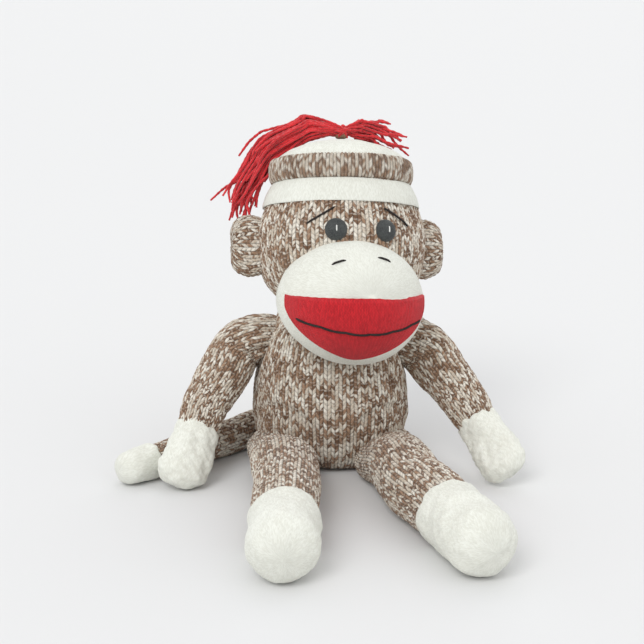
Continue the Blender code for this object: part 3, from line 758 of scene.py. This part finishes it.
def arm(side):
    sign = 1 if side == "left" else -1
    shoulder, elbow = pivot(f"{side}_shoulder_raise"), pivot(f"{side}_elbow_bend")
    upper = unit(elbow - shoulder)
    fore = unit(vertices(f"{side}_hand_cover").mean(0) - elbow)
    wrist, tip, _ = span(f"{side}_hand_cover", elbow, fore)
    wide = span(f"{side}_upper_arm_cover", shoulder, upper)[2] + 0.5
    elbow_wide = span(f"{side}_forearm_cover", elbow, fore)[2] - 1.2
    root = np.array([shoulder[0] - 32 * sign, shoulder[1] + 2, shoulder[2] + 5])
    middle = shoulder + upper * ARM_MEETS
    near = shoulder + np.array([-12 * sign, 0, 3.5])
    points = [root, near, shoulder + upper * 6, middle, elbow - upper * 6, elbow + fore * 10]
    points += [elbow + fore * (wrist - 6), elbow + fore * (wrist + 8)]
    radii = [(13, 14), (wide - 2.4, wide - 1.5), (wide, wide), (wide, wide)]
    radii += [(elbow_wide + 1.2, elbow_wide + 0.8), (elbow_wide, elbow_wide - 0.2)]
    radii += [(elbow_wide - 1.2, elbow_wide - 3.6), (elbow_wide - 3, elbow_wide - 8.5)]
    line, length = limb_line(points, radii)
    wales = round(2 * math.pi * wide / WALE)
    form = swept(line, wales * POINTS_PER_WALE, (0, -1, 0))
    at = along_line(line)
    form = lumps(form, 1.1, 34, 51 + sign)
    form = pleats(form, 1.5 * np.exp(-((at - 22) / 13) ** 2), 9, 61 + sign)
    form = pleats(form, 0.5 * np.exp(-(length - at) / 8), 10, 71 + sign)
    cut = nearest_row(line, middle)
    two_pieces(
        (f"{side}_shoulder_skin", f"{side}_arm_skin"),
        form,
        wales,
        cut,
        (("torso", f"{side}_upper_arm"), (f"{side}_upper_arm", f"{side}_forearm")),
        (
            reach_across(shoulder, upper, upper, SHOULDER_REACH),
            reach_across(elbow, upper, fore, ELBOW_REACH),
        ),
        (
            (f"{side}_upper_arm_cover", f"{side}_upper_arm_filling"),
            (f"{side}_forearm_cover", f"{side}_forearm_filling"),
        ),
    )
    start = elbow + fore * (wrist - 2.0)
    end = elbow + fore * tip
    hand = [
        (*start, 14.2, 9.6),
        (*(start + fore * 2.2), 16.6, 12.6),
        (*(start + fore * 14), 16.8, 11.8),
        (*(start + fore * 28), 18.4, 11.6),
    ]
    hand += round_end(end - fore * HAND_END, fore, 18.6, 11.4, HAND_END)
    hand_line = smooth_line(hand, CAP_ROWS)
    sewn_cap(
        f"{side}_hand_skin", hand_line, CAP_COLUMNS, (0, -1, 0), 81 + sign, 1.2, 2.4,
        f"{side}_forearm", [f"{side}_hand_cover", f"{side}_hand_filling"],
    )
    return np.column_stack([line[:, :3], line[:, 3]])


def tail():
    root, bend = pivot("tail_swing"), pivot("tail_bend")
    base = unit(bend - root)
    middle = (root + bend) / 2
    way = unit(vertices("tail_tip_cover").mean(0) - bend)
    start, end, _ = span("tail_tip_cover", bend, way)
    wide = span("tail_base_cover", root, base)[2] + 0.2
    inside = root * 0.3 + np.array([0, 0, 12])
    points = [inside, root * (0.82, 0.9, 1), (root * 3 + bend) / 4, middle, bend, bend + way * 30]
    points.append(bend + way * (start + 6))
    radii = [(wide - 2, wide - 2), (wide - 1, wide - 1)] + [(wide, wide)] * 4 + [(wide - 2.2, wide - 2.2)]
    line, _ = limb_line(points, radii)
    wales = round(2 * math.pi * wide / WALE)
    form = swept(line, wales * POINTS_PER_WALE, (0, 0, 1))
    form = lumps(form, 0.7, 30, 91)
    cut = nearest_row(line, middle)
    two_pieces(
        ("tail_root_skin", "tail_skin"),
        form,
        wales,
        cut,
        (("torso", "tail_base"), ("tail_base", "tail_end")),
        (reach_across(root, base, base, TAIL_ROOT_REACH), reach_across(bend, base, way, TAIL_BEND_REACH)),
        (("tail_base_cover", "tail_base_filling"), ("tail_end_cover", "tail_end_filling")),
    )
    first = bend + way * (start - 1.5)
    last = bend + way * end
    tip = [
        (*first, wide - 1.6, wide - 1.6),
        (*(first + way * 1.8), wide + 0.6, wide + 0.6),
        (*(last - way * 14), wide + 0.3, wide + 0.2),
    ]
    tip += round_end(last - way * TAIL_TIP_END, way, wide + 0.3, wide + 0.2, TAIL_TIP_END)
    sewn_cap(
        "tail_tip_skin", smooth_line(tip, TIP_ROWS), TIP_COLUMNS, (0, 0, 1), 97, 0.6, 1.0,
        "tail_end", ["tail_tip_cover"],
    )
    return np.column_stack([line[:, :3], line[:, 3]])


# ---------------------------------------------------------------- torso and head


def torso(limbs):
    points = vertices("torso_cover")
    depth = (points[:, 1].max() - points[:, 1].min()) / (points[:, 0].max() - points[:, 0].min())
    side = [(y / depth, z) for y, z in outer_only(outline(points, 1, 0))]
    side = [(radius, height) for radius, height in side if height > 1]
    top_radius, top = side[-1]
    seat = [(6, FLOOR), (side[0][0] - 9, FLOOR)]
    neck = [(top_radius - 3.5, top + 5), (top_radius - 11, top + 9), (8, top + 11)]
    profile = seat + side + neck
    length = length_of(smooth_line([(r, 0, z) for r, z in profile], SAMPLES))
    form = turned(profile, depth, rows_for(length), BODY_WALES * POINTS_PER_WALE)
    form = lumps(form, 1.2, 70, 5)
    for line in limbs:
        form = crease(form, line, 2.6, 7.0)
    piece = mesh_piece("torso_skin", [knitted(form, BODY_WALES)], MARL)
    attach(piece, "torso")
    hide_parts("torso_cover", "torso_filling", "seat_pellet_bag", "neck_gather_thread")


def neck():
    """The gathered neck between the torso and the head."""
    top = vertices("torso_cover")[:, 2].max()
    profile = [(10, top - 6), (34, top - 5), (41, top + 0.5), (42.5, top + 7)]
    profile += [(41, top + 14), (34, top + 19), (10, top + 20)]
    form = turned(profile, 0.8, 44, BODY_WALES * POINTS_PER_WALE)
    form = form + np.array([NECK[0] * 0.7, NECK[1] * 0.7, 0])
    piece = mesh_piece("neck_skin", [knitted(form, BODY_WALES)], MARL)
    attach(piece, "neck")
    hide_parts("neck_stuffing_roll")


HEAD_POINTS = head_vertices("head_cover")
HEAD_DEPTH = np.ptp(HEAD_POINTS[:, 1]) / np.ptp(HEAD_POINTS[:, 0])
HEAD_SIDE = outer_only(outline(HEAD_POINTS, 0, 1))
HEAD_RADIUS = np.array([radius for radius, height in HEAD_SIDE])
HEAD_HEIGHT = np.array([height for radius, height in HEAD_SIDE])


def head_front(x, z, proud):
    """Point on the front of the head, raised by proud, and the way out of it."""
    radius = np.interp(z, HEAD_HEIGHT, HEAD_RADIUS)
    y = -HEAD_DEPTH * np.sqrt(max(radius**2 - x**2, 1.0))
    out = unit([x, y / HEAD_DEPTH**2, 0.0])
    return np.array([x, y, z]) + out * proud


def head():
    foot_radius, foot = HEAD_SIDE[0]
    below = [(8, foot - 10), (foot_radius - 12, foot - 9), (foot_radius - 4, foot - 5)]
    above = [(6, HEAD_POINTS[:, 2].max())]
    profile = below + HEAD_SIDE + above
    length = length_of(smooth_line([(r, 0, z) for r, z in profile], SAMPLES))
    form = turned(profile, HEAD_DEPTH, rows_for(length), BODY_WALES * POINTS_PER_WALE)
    form = lumps(form, 0.9, 75, 6)
    form = from_head(form)
    piece = mesh_piece("head_skin", [knitted(form, BODY_WALES)], MARL)
    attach(piece, "head")
    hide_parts("head_cover", "head_filling", "left_eye_washer", "right_eye_washer")


def ear(side):
    """A flat stuffed half-round ear, cupped at the front and gathered where it is sewn on."""
    sign = 1 if side == "left" else -1
    points = head_vertices(f"{side}_ear_cover")
    low, high = points.min(0), points.max(0)
    middle_y, middle_z = (low[1] + high[1]) / 2, (low[2] + high[2]) / 2
    tall = (high[2] - low[2]) / 2
    outer = (high[0] if sign > 0 else -low[0]) - EAR_TRIM[side]
    inner = outer - 31
    rows, columns = 120, 100
    reach = np.linspace(0, 1, rows)
    turn = np.linspace(0, 2 * np.pi, columns, endpoint=False)
    half = tall * np.sqrt(np.clip(1 - reach**2.6, 0.0, 1))
    half = half * (0.80 + 0.20 * smoothstep(0, 0.45, reach))
    thick = 7.6 * np.sqrt(np.clip(1 - reach**3.2, 0.0, 1)) + 0.6
    x = inner + (outer - inner) * np.sin(reach * np.pi / 2)[:, None] * np.ones(columns)
    up = half[:, None] * np.sin(turn)
    face = np.cos(turn)
    y = thick[:, None] * face
    hollow = smoothstep(0.1, 0.5, reach)[:, None]
    dent = 4.2 * (face < 0) * (np.abs(face) ** 2) * hollow * (1 - reach[:, None] ** 2)
    y = y + dent
    form = np.stack([sign * x, middle_y + y, middle_z + up], axis=-1)
    if sign < 0:
        form = form[:, ::-1]
    form = facing_out(form, form - form.mean((0, 1)), normals(form))
    form = lumps(form, 0.5, 22, 7 + sign)
    form = from_head(form)
    piece = mesh_piece(f"{side}_ear_skin", [knitted(form, 24)], MARL)
    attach(piece, "head")
    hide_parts(f"{side}_ear_cover", f"{side}_ear_filling")


# ---------------------------------------------------------------- face

MUZZLE_BOX = head_vertices("muzzle_cover")
MUZZLE = np.array(
    [
        (MUZZLE_BOX[:, 0].min() + MUZZLE_BOX[:, 0].max()) / 2,
        MUZZLE_BOX[:, 1].min() + MUZZLE_SEMI[1],
        MUZZLE_BOX[:, 2].min() + MUZZLE_SEMI[2] - MUZZLE_DROP,
    ]
)


def muzzle_point(x, z, proud):
    """Point on the front of the muzzle at (x, z), raised by proud."""
    share = np.array([(x - MUZZLE[0]) / MUZZLE_SEMI[0], 0, (z - MUZZLE[2]) / MUZZLE_SEMI[2]])
    y = -math.sqrt(max(1 - share @ share, 0))
    point = np.array([share[0], y, share[2]])
    out = unit(point / MUZZLE_SEMI)
    return MUZZLE + point * MUZZLE_SEMI + out * proud


def muzzle():
    rows, columns = 150, 300
    turn = np.linspace(0, 2 * np.pi, columns, endpoint=False)
    high = smoothstep(-0.9, 0.9, np.sin(turn))
    tuck = CHIN_TUCK + (MUZZLE_TUCK - CHIN_TUCK) * high
    share = np.linspace(1.0, 0.03, rows)[:, None]
    polar = share * tuck
    way = np.stack([np.sin(polar) * np.cos(turn), -np.cos(polar), np.sin(polar) * np.sin(turn)], axis=-1)
    front = MUZZLE + way * MUZZLE_SEMI
    rim = front[0]
    inside = np.array([MUZZLE[0], MUZZLE[1] - 6, MUZZLE[2] + 6])
    steps = np.linspace(0.15, 0.95, 14)[:, None, None]
    back = inside + (rim - inside) * steps
    form = np.concatenate([back, front])
    form = facing_out(form, form - MUZZLE, normals(form))
    form = lumps(form, 0.6, 60, 8)
    form = from_head(form)
    piece = mesh_piece("muzzle_skin", [knitted(form, 190, JERSEY_COURSE, 0.04)], WHITE)
    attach(piece, "head")
    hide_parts("muzzle_cover", "muzzle_filling")


def mouth():
    """The red patch: a lens of fine knit sewn to the muzzle, its edges turned under."""
    columns, rows = 270, 100
    east = np.linspace(-PATCH_END, PATCH_END, columns)
    out_to_end = np.abs(east) / PATCH_END
    grow = (MUZZLE_SEMI[0] / PATCH_HALF[0]) ** 2 * np.sin(east) ** 2
    ratio = (MUZZLE_SEMI[2] / PATCH_HALF[1]) ** 2
    curve = np.arcsin(np.sqrt(np.clip(1 - grow, 0, 1) / (ratio - grow)))
    lean = np.where(east < 0, *PATCH_LEAN)
    bottom = PATCH_CORNERS * out_to_end**4 - curve * (1 - lean * out_to_end**2)
    scallop = math.radians(0.25) * np.abs(np.sin(east * 26))
    top = PATCH_TOP + (PATCH_CORNERS - PATCH_TOP) * out_to_end**2 - scallop * (1 - out_to_end**8)
    share = np.linspace(0, 1, rows)[:, None]
    north = bottom + (top - bottom) * share
    turn = east + PATCH_MIDDLE
    way = np.stack([np.cos(north) * np.sin(turn), -np.cos(north) * np.cos(turn), np.sin(north)], axis=-1)
    out = unit(way / MUZZLE_SEMI)
    from_edge = np.minimum(np.minimum(share, 1 - share) * 14, (1 - out_to_end) * 30)
    puff = smoothstep(0, 1, from_edge)
    wale = np.linspace(0, 2 * PATCH_END * PATCH_HALF[0] / RED_WALE, columns)
    course = share[:, 0] * PATCH_HALF[1] / RED_COURSE
    height = stitch_height(wale[None], course[:, None])
    rise = PATCH_GAP + (PATCH_THICK + RED_RELIEF * height) * puff
    front = MUZZLE + way * MUZZLE_SEMI + out * rise[..., None]
    back = MUZZLE + way * MUZZLE_SEMI - out * PATCH_BACK
    form = from_head(np.concatenate([front, back[:, ::-1]], axis=1))
    both_ways = np.concatenate([wale, wale[::-1], [0]])
    away = form[:, :columns] - from_head(MUZZLE[None])
    form = facing_out(form, away, normals(form)[:, :columns])
    piece = mesh_piece("mouth_patch_skin", [(form, both_ways, course)], RED)
    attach(piece, "head")
    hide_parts("mouth_patch")


def thread_through(node, degree, count, shift, stretch=1.0):
    """(x, z) along a face thread, from the CAD node's points, moved by shift, drawn out from its left end."""
    points = head_vertices(node)
    x = np.linspace(points[:, 0].min() + 0.5, points[:, 0].max() - 0.5, count)
    line = np.column_stack([x, np.polyval(np.polyfit(points[:, 0], points[:, 2], degree), x)])
    line[:, 0] = line[-1, 0] + (line[:, 0] - line[-1, 0]) * stretch
    return line + shift


def stitches(name, line, place, radius, count, overlap, proud, material, node):
    """Short straight stitches laid end over end along a line of (x, z)."""
    grids = []
    fine = smooth_line(np.column_stack([line[:, 0], np.zeros(len(line)), line[:, 1]]), SAMPLES)
    for i in range(count):
        first = int(max(0, (i - overlap) / count * (SAMPLES - 1)))
        last = int(min(SAMPLES - 1, (i + 1) / count * (SAMPLES - 1)))
        spots = np.linspace(first, last, 7)
        path = []
        for k, spot in enumerate(spots):
            x, _, z = fine[int(spot)]
            dip = 1.3 * abs(k - 3) ** 4 / 81
            shift = (0.35 if i % 2 else -0.35) * (1 if count > 1 else 0)
            path.append((*place(x, z + shift * (k - 3) / 3, proud - dip), radius, radius))
        tube_line = smooth_line(path, 18)
        tube = swept(tube_line, 10, (0, 1, 0.2))
        grids.append((from_head(tube), np.linspace(0, 4, 11), np.linspace(0, 6, 18)))
    piece = mesh_piece(name, grids, material)
    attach(piece, "head")
    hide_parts(node)


def face_stitches(side):
    """The eyebrow and the nostril: one straight stitch each."""
    brow = thread_through(f"{side}_eyebrow_thread", 1, 20, BROW_SHIFT)
    stitches(
        f"{side}_eyebrow_stitch", brow, head_front, 0.75, 1, 0, 2.2,
        BLACK, f"{side}_eyebrow_thread",
    )
    nostril = thread_through(f"{side}_nostril_thread", 1, 20, NOSTRIL_SHIFT[side])
    stitches(
        f"{side}_nostril_stitch", nostril, muzzle_point, 0.75, 1, 0, 0.7,
        BLACK, f"{side}_nostril_thread",
    )


def smile():
    line = thread_through("smile_thread", 4, 40, SMILE_SHIFT, SMILE_STRETCH)
    stitches(
        "smile_stitches", line, muzzle_point, 0.85, 11, 0.22, 2.1,
        BLACK, "smile_thread",
    )


def eye(side):
    points = head_vertices(f"{side}_eye")
    middle = points.mean(0)
    shank = points[np.argmin(np.linalg.norm(points - np.array([0, 0, middle[2]]), axis=1))]
    out = unit(middle - shank)
    along = (points - shank) @ out
    away = np.linalg.norm(points - shank - along[:, None] * out, axis=1)
    radius = away.max()
    rim = along[away > radius - 0.7].min()
    dome = along.max() - rim
    angles = np.linspace(0, np.pi / 2, 14)[::-1]
    profile = [(0.6, -2.0), (radius * 0.6, -1.6), (radius * 0.96, -0.4)]
    profile += [(max(radius * math.sin(a), 0.3), dome * math.cos(a)) for a in angles]
    form = turned(profile, 1.0, 60, 72)
    side_way = unit(np.cross((0, 0, 1), out))
    axes = np.column_stack([side_way, np.cross(out, side_way), out])
    seat = shank + out * (rim + 0.2) + EYE_SHIFT
    form = from_head(form @ axes.T + seat)
    form = lumps(form, 0.12, 3.0, 13)
    dome_grid = (form, np.linspace(0, 1, 73), np.linspace(0, 1, 60))
    piece = mesh_piece(f"{side}_eye_dome", [dome_grid], EYE)
    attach(piece, "head")
    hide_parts(f"{side}_eye")
    # Painted highlight: a short white tube on the eye dome stands in for the glint of light on the eye.
    path = []
    for k in np.linspace(-1, 1, 9):
        at = np.array([0.5, 1.9 * k + 0.4, dome * 0.98 - 0.35 * k**4])
        path.append((*(axes @ at + seat), 0.5, 0.5))
    tube = swept(smooth_line(path, 20), 10, (0, 1, 0))
    glint_grid = (from_head(tube), np.linspace(0, 1, 11), np.linspace(0, 1, 20))
    spot = mesh_piece(f"{side}_eye_painted_glint", [glint_grid], GLINT_WHITE)
    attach(spot, "head")


# ---------------------------------------------------------------- hat


def hat_band():
    points = head_vertices("hat_band")
    column = points[(np.abs(points[:, 1]) < 0.6) & (points[:, 0] > 1)]
    low, high = column[:, 2].min(), column[:, 2].max()
    outer = [(column[np.abs(column[:, 2] - h) < 0.6, 0].max(), h) for h in (low, (low + high) / 2, high)]
    swell = 1.3
    levels = np.linspace(0, 1, 24)
    radius = np.interp(levels, (0, 0.5, 1), [r for r, h in outer])
    height = low + (high - low) * levels
    outside = list(zip(radius + swell * np.sin(np.pi * levels) ** 0.5 - 0.2, height))
    inside = list(zip(radius[::-1] - 1.6, height[::-1]))
    loop_ring(
        "hat_band_skin", "hat_band", outside + inside, 210, JERSEY_COURSE, SKIN_FAINT, WHITE,
    )


def hat_cuff():
    points = head_vertices("hat_cuff")
    column = points[(np.abs(points[:, 1]) < 0.6) & (points[:, 0] > 1)]
    inner = column[:, 0].min() - CUFF_TRIM
    outer = column[:, 0].max() - CUFF_TRIM
    low, high = column[:, 2].min(), column[:, 2].max()
    middle = (low + high) / 2
    angles = np.linspace(-np.pi / 2, np.pi / 2, 30)
    radii = inner + 1 + (outer - inner - 0.4) * np.cos(angles) ** 0.55
    bulge = list(zip(radii, middle + (high - low) / 2 * np.sin(angles)))
    inside = [(inner, h) for h in np.linspace(high - 1, low + 1, 16)]
    loop_ring(
        "hat_cuff_skin", "hat_cuff", bulge + inside, BODY_WALES, CUFF_COURSE, RELIEF, MARL,
    )


def loop_ring(name, node, profile, wales, course, relief, material):
    """A closed ring of cloth whose outline goes up the outside and down the inside."""
    points = np.array([(r, 0, z) for r, z in profile])
    closed = np.vstack([points, points[:1]])
    steps = np.linalg.norm(np.diff(closed, axis=0), axis=1)
    along = np.concatenate([[0], np.cumsum(steps)])
    rows = max(60, int(along[-1] / course * POINTS_PER_COURSE))
    at = np.linspace(0, along[-1], rows, endpoint=False)
    line = np.column_stack([np.interp(at, along, column) for column in closed.T])
    columns = wales * (POINTS_PER_WALE if relief > 0.3 else 2)
    turn = np.linspace(0, 2 * np.pi, columns, endpoint=False)
    form = np.stack(
        [
            -line[:, 0, None] * np.sin(turn),
            line[:, 0, None] * np.cos(turn) * HEAD_DEPTH,
            np.broadcast_to(line[:, 2, None], (rows, columns)),
        ],
        axis=-1,
    )
    form = lumps(form, 0.35, 40, 15)
    form = from_head(form)
    grid, wale, row_course = knitted(form, wales, course, relief)
    piece = mesh_piece(name, [(grid, wale, row_course)], material, loop=True)
    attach(piece, "head")
    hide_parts(node)


def hat_crown():
    points = head_vertices("hat_crown")
    column = points[(np.abs(points[:, 1]) < 0.6) & (points[:, 0] > -1)]
    top = column[:, 2].max()
    side = outer_only(outline(points, 0, 1))
    outer = side + [(8, top - 0.4), (3, top)]
    inner = [(max(r - 1.4, 1.5), z - 1.4) for r, z in outer[::-1][:-1]]
    inner += [(outer[0][0] - 1.4, outer[0][1])]
    profile = inner + outer
    form = turned(profile, HEAD_DEPTH, 150, 300)
    form = lumps(form, 0.6, 34, 16)
    form = from_head(form)
    piece = mesh_piece("hat_crown_skin", [knitted(form, 180, JERSEY_COURSE, SKIN_FAINT)], WHITE)
    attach(piece, "head")
    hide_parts("hat_crown")


def bundle_middle(bundle, hub):
    """The middle and half-width of the bundle of yarn, from its left end over the crown to its right end."""
    angle = np.degrees(np.arctan2(bundle[:, 2] - hub[2], bundle[:, 0]))
    angle = np.where(angle < -60, angle + 360, angle)
    stops = np.linspace(angle.min() + 6, angle.max() - 4, 10)
    weight = np.exp(-(((angle - stops[:, None]) / 13.0) ** 2))
    weight = weight / weight.sum(axis=1, keepdims=True)
    middle = weight @ bundle
    away = np.linalg.norm(bundle - middle[:, None], axis=2)
    width = np.minimum((away * weight).sum(axis=1), 15)
    return smooth_line(np.column_stack([middle, width]), 40)


def strand(rng, tie, run, reach, drape):
    """One strand: out of the knot, along the run of the bundle, then loose and wavy towards its end."""
    turn = rng.uniform(0, 2 * np.pi)
    far = math.sqrt(rng.uniform(0.02, 1.0))
    fan = rng.normal(0, 1, 3) * STRAND_FAN + drape
    swing = rng.normal(0, 1, (2, 3)) * STRAND_WAVE
    waves = rng.uniform(0.7, 1.6, 2)
    phase = rng.uniform(0, 2 * np.pi, 2)
    path = [(*tie, STRAND), (*(tie + rng.normal(0, 1.6, 3) + (0, 0, 4.5)), STRAND)]
    for index in np.linspace(4, (len(run) - 1) * reach, 9):
        share = index / (len(run) - 1)
        spot = run[int(index)]
        upward = unit(spot[:3] - tie * (1, 1, 0.3))
        across = np.array([0, math.cos(turn), 0]) + math.sin(turn) * upward
        sway = swing[0] * math.sin(2 * np.pi * waves[0] * share + phase[0])
        sway = sway + swing[1] * math.sin(4 * np.pi * waves[1] * share + phase[1]) * 0.4
        place = spot[:3] + across * far * spot[3] * 0.8 + fan * share**2 + sway * share
        place[2] -= STRAND_SAG * math.sin(np.pi * share)
        path.append((*place, STRAND))
    path[-1] = (*path[-1][:3], STRAND * 0.7)
    line = smooth_line(path, STRAND_ROWS)
    line = np.column_stack([line, line[:, 3]])
    grid = swept(line, STRAND_SIDES, (0.1, 1, 0.15))
    lobes = np.linspace(0, 2 * np.pi, STRAND_SIDES, endpoint=False)[None]
    twist = along_line(line)[:, None] / 1.5
    grow = 1 + 0.2 * np.cos(2 * lobes + 2 * twist)
    return line[:, None, :3] + (grid - line[:, None, :3]) * grow[..., None]


def pompom():
    """Strands of red yarn tied at the crown: most fall over the monkey's right side, a few over its left."""
    bundle = head_vertices("pompom_yarn")
    hub = np.array([0.0, 2.0, bundle[:, 2].max() - 62])
    middle = bundle_middle(bundle, hub)
    peak = int(np.argmax(middle[:, 2]))
    tie = to_head(pivot("pompom_spin")[None])[0] + np.array([0, 0, 1.5])
    rng = np.random.default_rng(20)
    heavy = middle[peak:]
    light = middle[peak::-1]
    grids = []
    wale = np.linspace(0, 4, STRAND_SIDES + 1)
    course = np.linspace(0, 20, STRAND_ROWS)
    for run, count, drape in ((heavy, HEAVY_COUNT, HEAVY_DRAPE), (light, LIGHT_COUNT, LIGHT_DRAPE)):
        for _ in range(count):
            grid = strand(rng, tie, run, rng.uniform(SHORTEST_SHARE, 1.0), drape)
            grids.append((from_head(grid), wale, course))
    piece = mesh_piece("pompom_strands", grids, YARN)
    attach(piece, "pompom")
    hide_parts("pompom_yarn")
    knot = turned([(1, -1.0), (3.6, -0.8), (4.4, 0.4), (4.0, 1.8), (2.6, 2.6), (0.8, 2.8)], 1.0, 20, 40)
    knot_grid = (from_head(knot + tie), np.linspace(0, 8, 41), np.linspace(0, 3, 20))
    bind = mesh_piece("pompom_binding", [knot_grid], CORD)
    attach(bind, "head")
    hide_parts("pompom_tie")


# ---------------------------------------------------------------- stage


def stage():
    mesh = bpy.data.meshes.new("floor")
    half = 60.0
    corners = [(-half, -half, 0), (half, -half, 0), (half, half, 0), (-half, half, 0)]
    mesh.from_pydata(corners, [], [(0, 1, 2, 3)])
    floor = bpy.data.objects.new("floor", mesh)
    bpy.context.scene.collection.objects.link(floor)
    shader = Shader("floor_look", 0.8)
    shader.colour(srgb(222, 222, 222))
    mesh.materials.append(shader.material)
    world = bpy.data.worlds.new("studio")
    bpy.context.scene.world = world
    world.use_nodes = True
    background = world.node_tree.nodes["Background"]
    background.inputs["Color"].default_value = (0.98, 0.99, 1.0, 1)
    background.inputs["Strength"].default_value = 0.87
    for name, place, power, spread in (
        ("key", (-0.7, -1.3, 1.5), 1.15, 30),
        ("fill", (1.4, -1.1, 0.7), 0.25, 60),
        ("rim", (0.3, 1.2, 1.3), 0.35, 60),
    ):
        data = bpy.data.lights.new(name, "SUN")
        data.energy = power
        data.angle = math.radians(spread)
        lamp = bpy.data.objects.new(name, data)
        lamp.location = place
        lamp.rotation_euler = (TARGET - Vector(place)).to_track_quat("-Z", "Y").to_euler()
        bpy.context.scene.collection.objects.link(lamp)


def camera():
    data = bpy.data.cameras.new("camera")
    data.lens = LENS
    data.sensor_width = 36.0
    eye_object = bpy.data.objects.new("camera", data)
    away = Vector((0, -math.cos(CAMERA_HEIGHT), math.sin(CAMERA_HEIGHT))) * CAMERA_DISTANCE
    eye_object.location = TARGET + away
    eye_object.rotation_euler = (-away).to_track_quat("-Z", "Y").to_euler()
    bpy.context.scene.collection.objects.link(eye_object)
    bpy.context.scene.camera = eye_object
    bpy.context.scene.view_settings.view_transform = "Standard"


camera()
limb_lines = [leg(side) for side in SIDES] + [arm(side) for side in SIDES] + [tail()]
torso(limb_lines)
neck()
head()
muzzle()
mouth()
for side in SIDES:
    ear(side)
    eye(side)
    face_stitches(side)
smile()
hat_band()
hat_cuff()
hat_crown()
pompom()
stage()
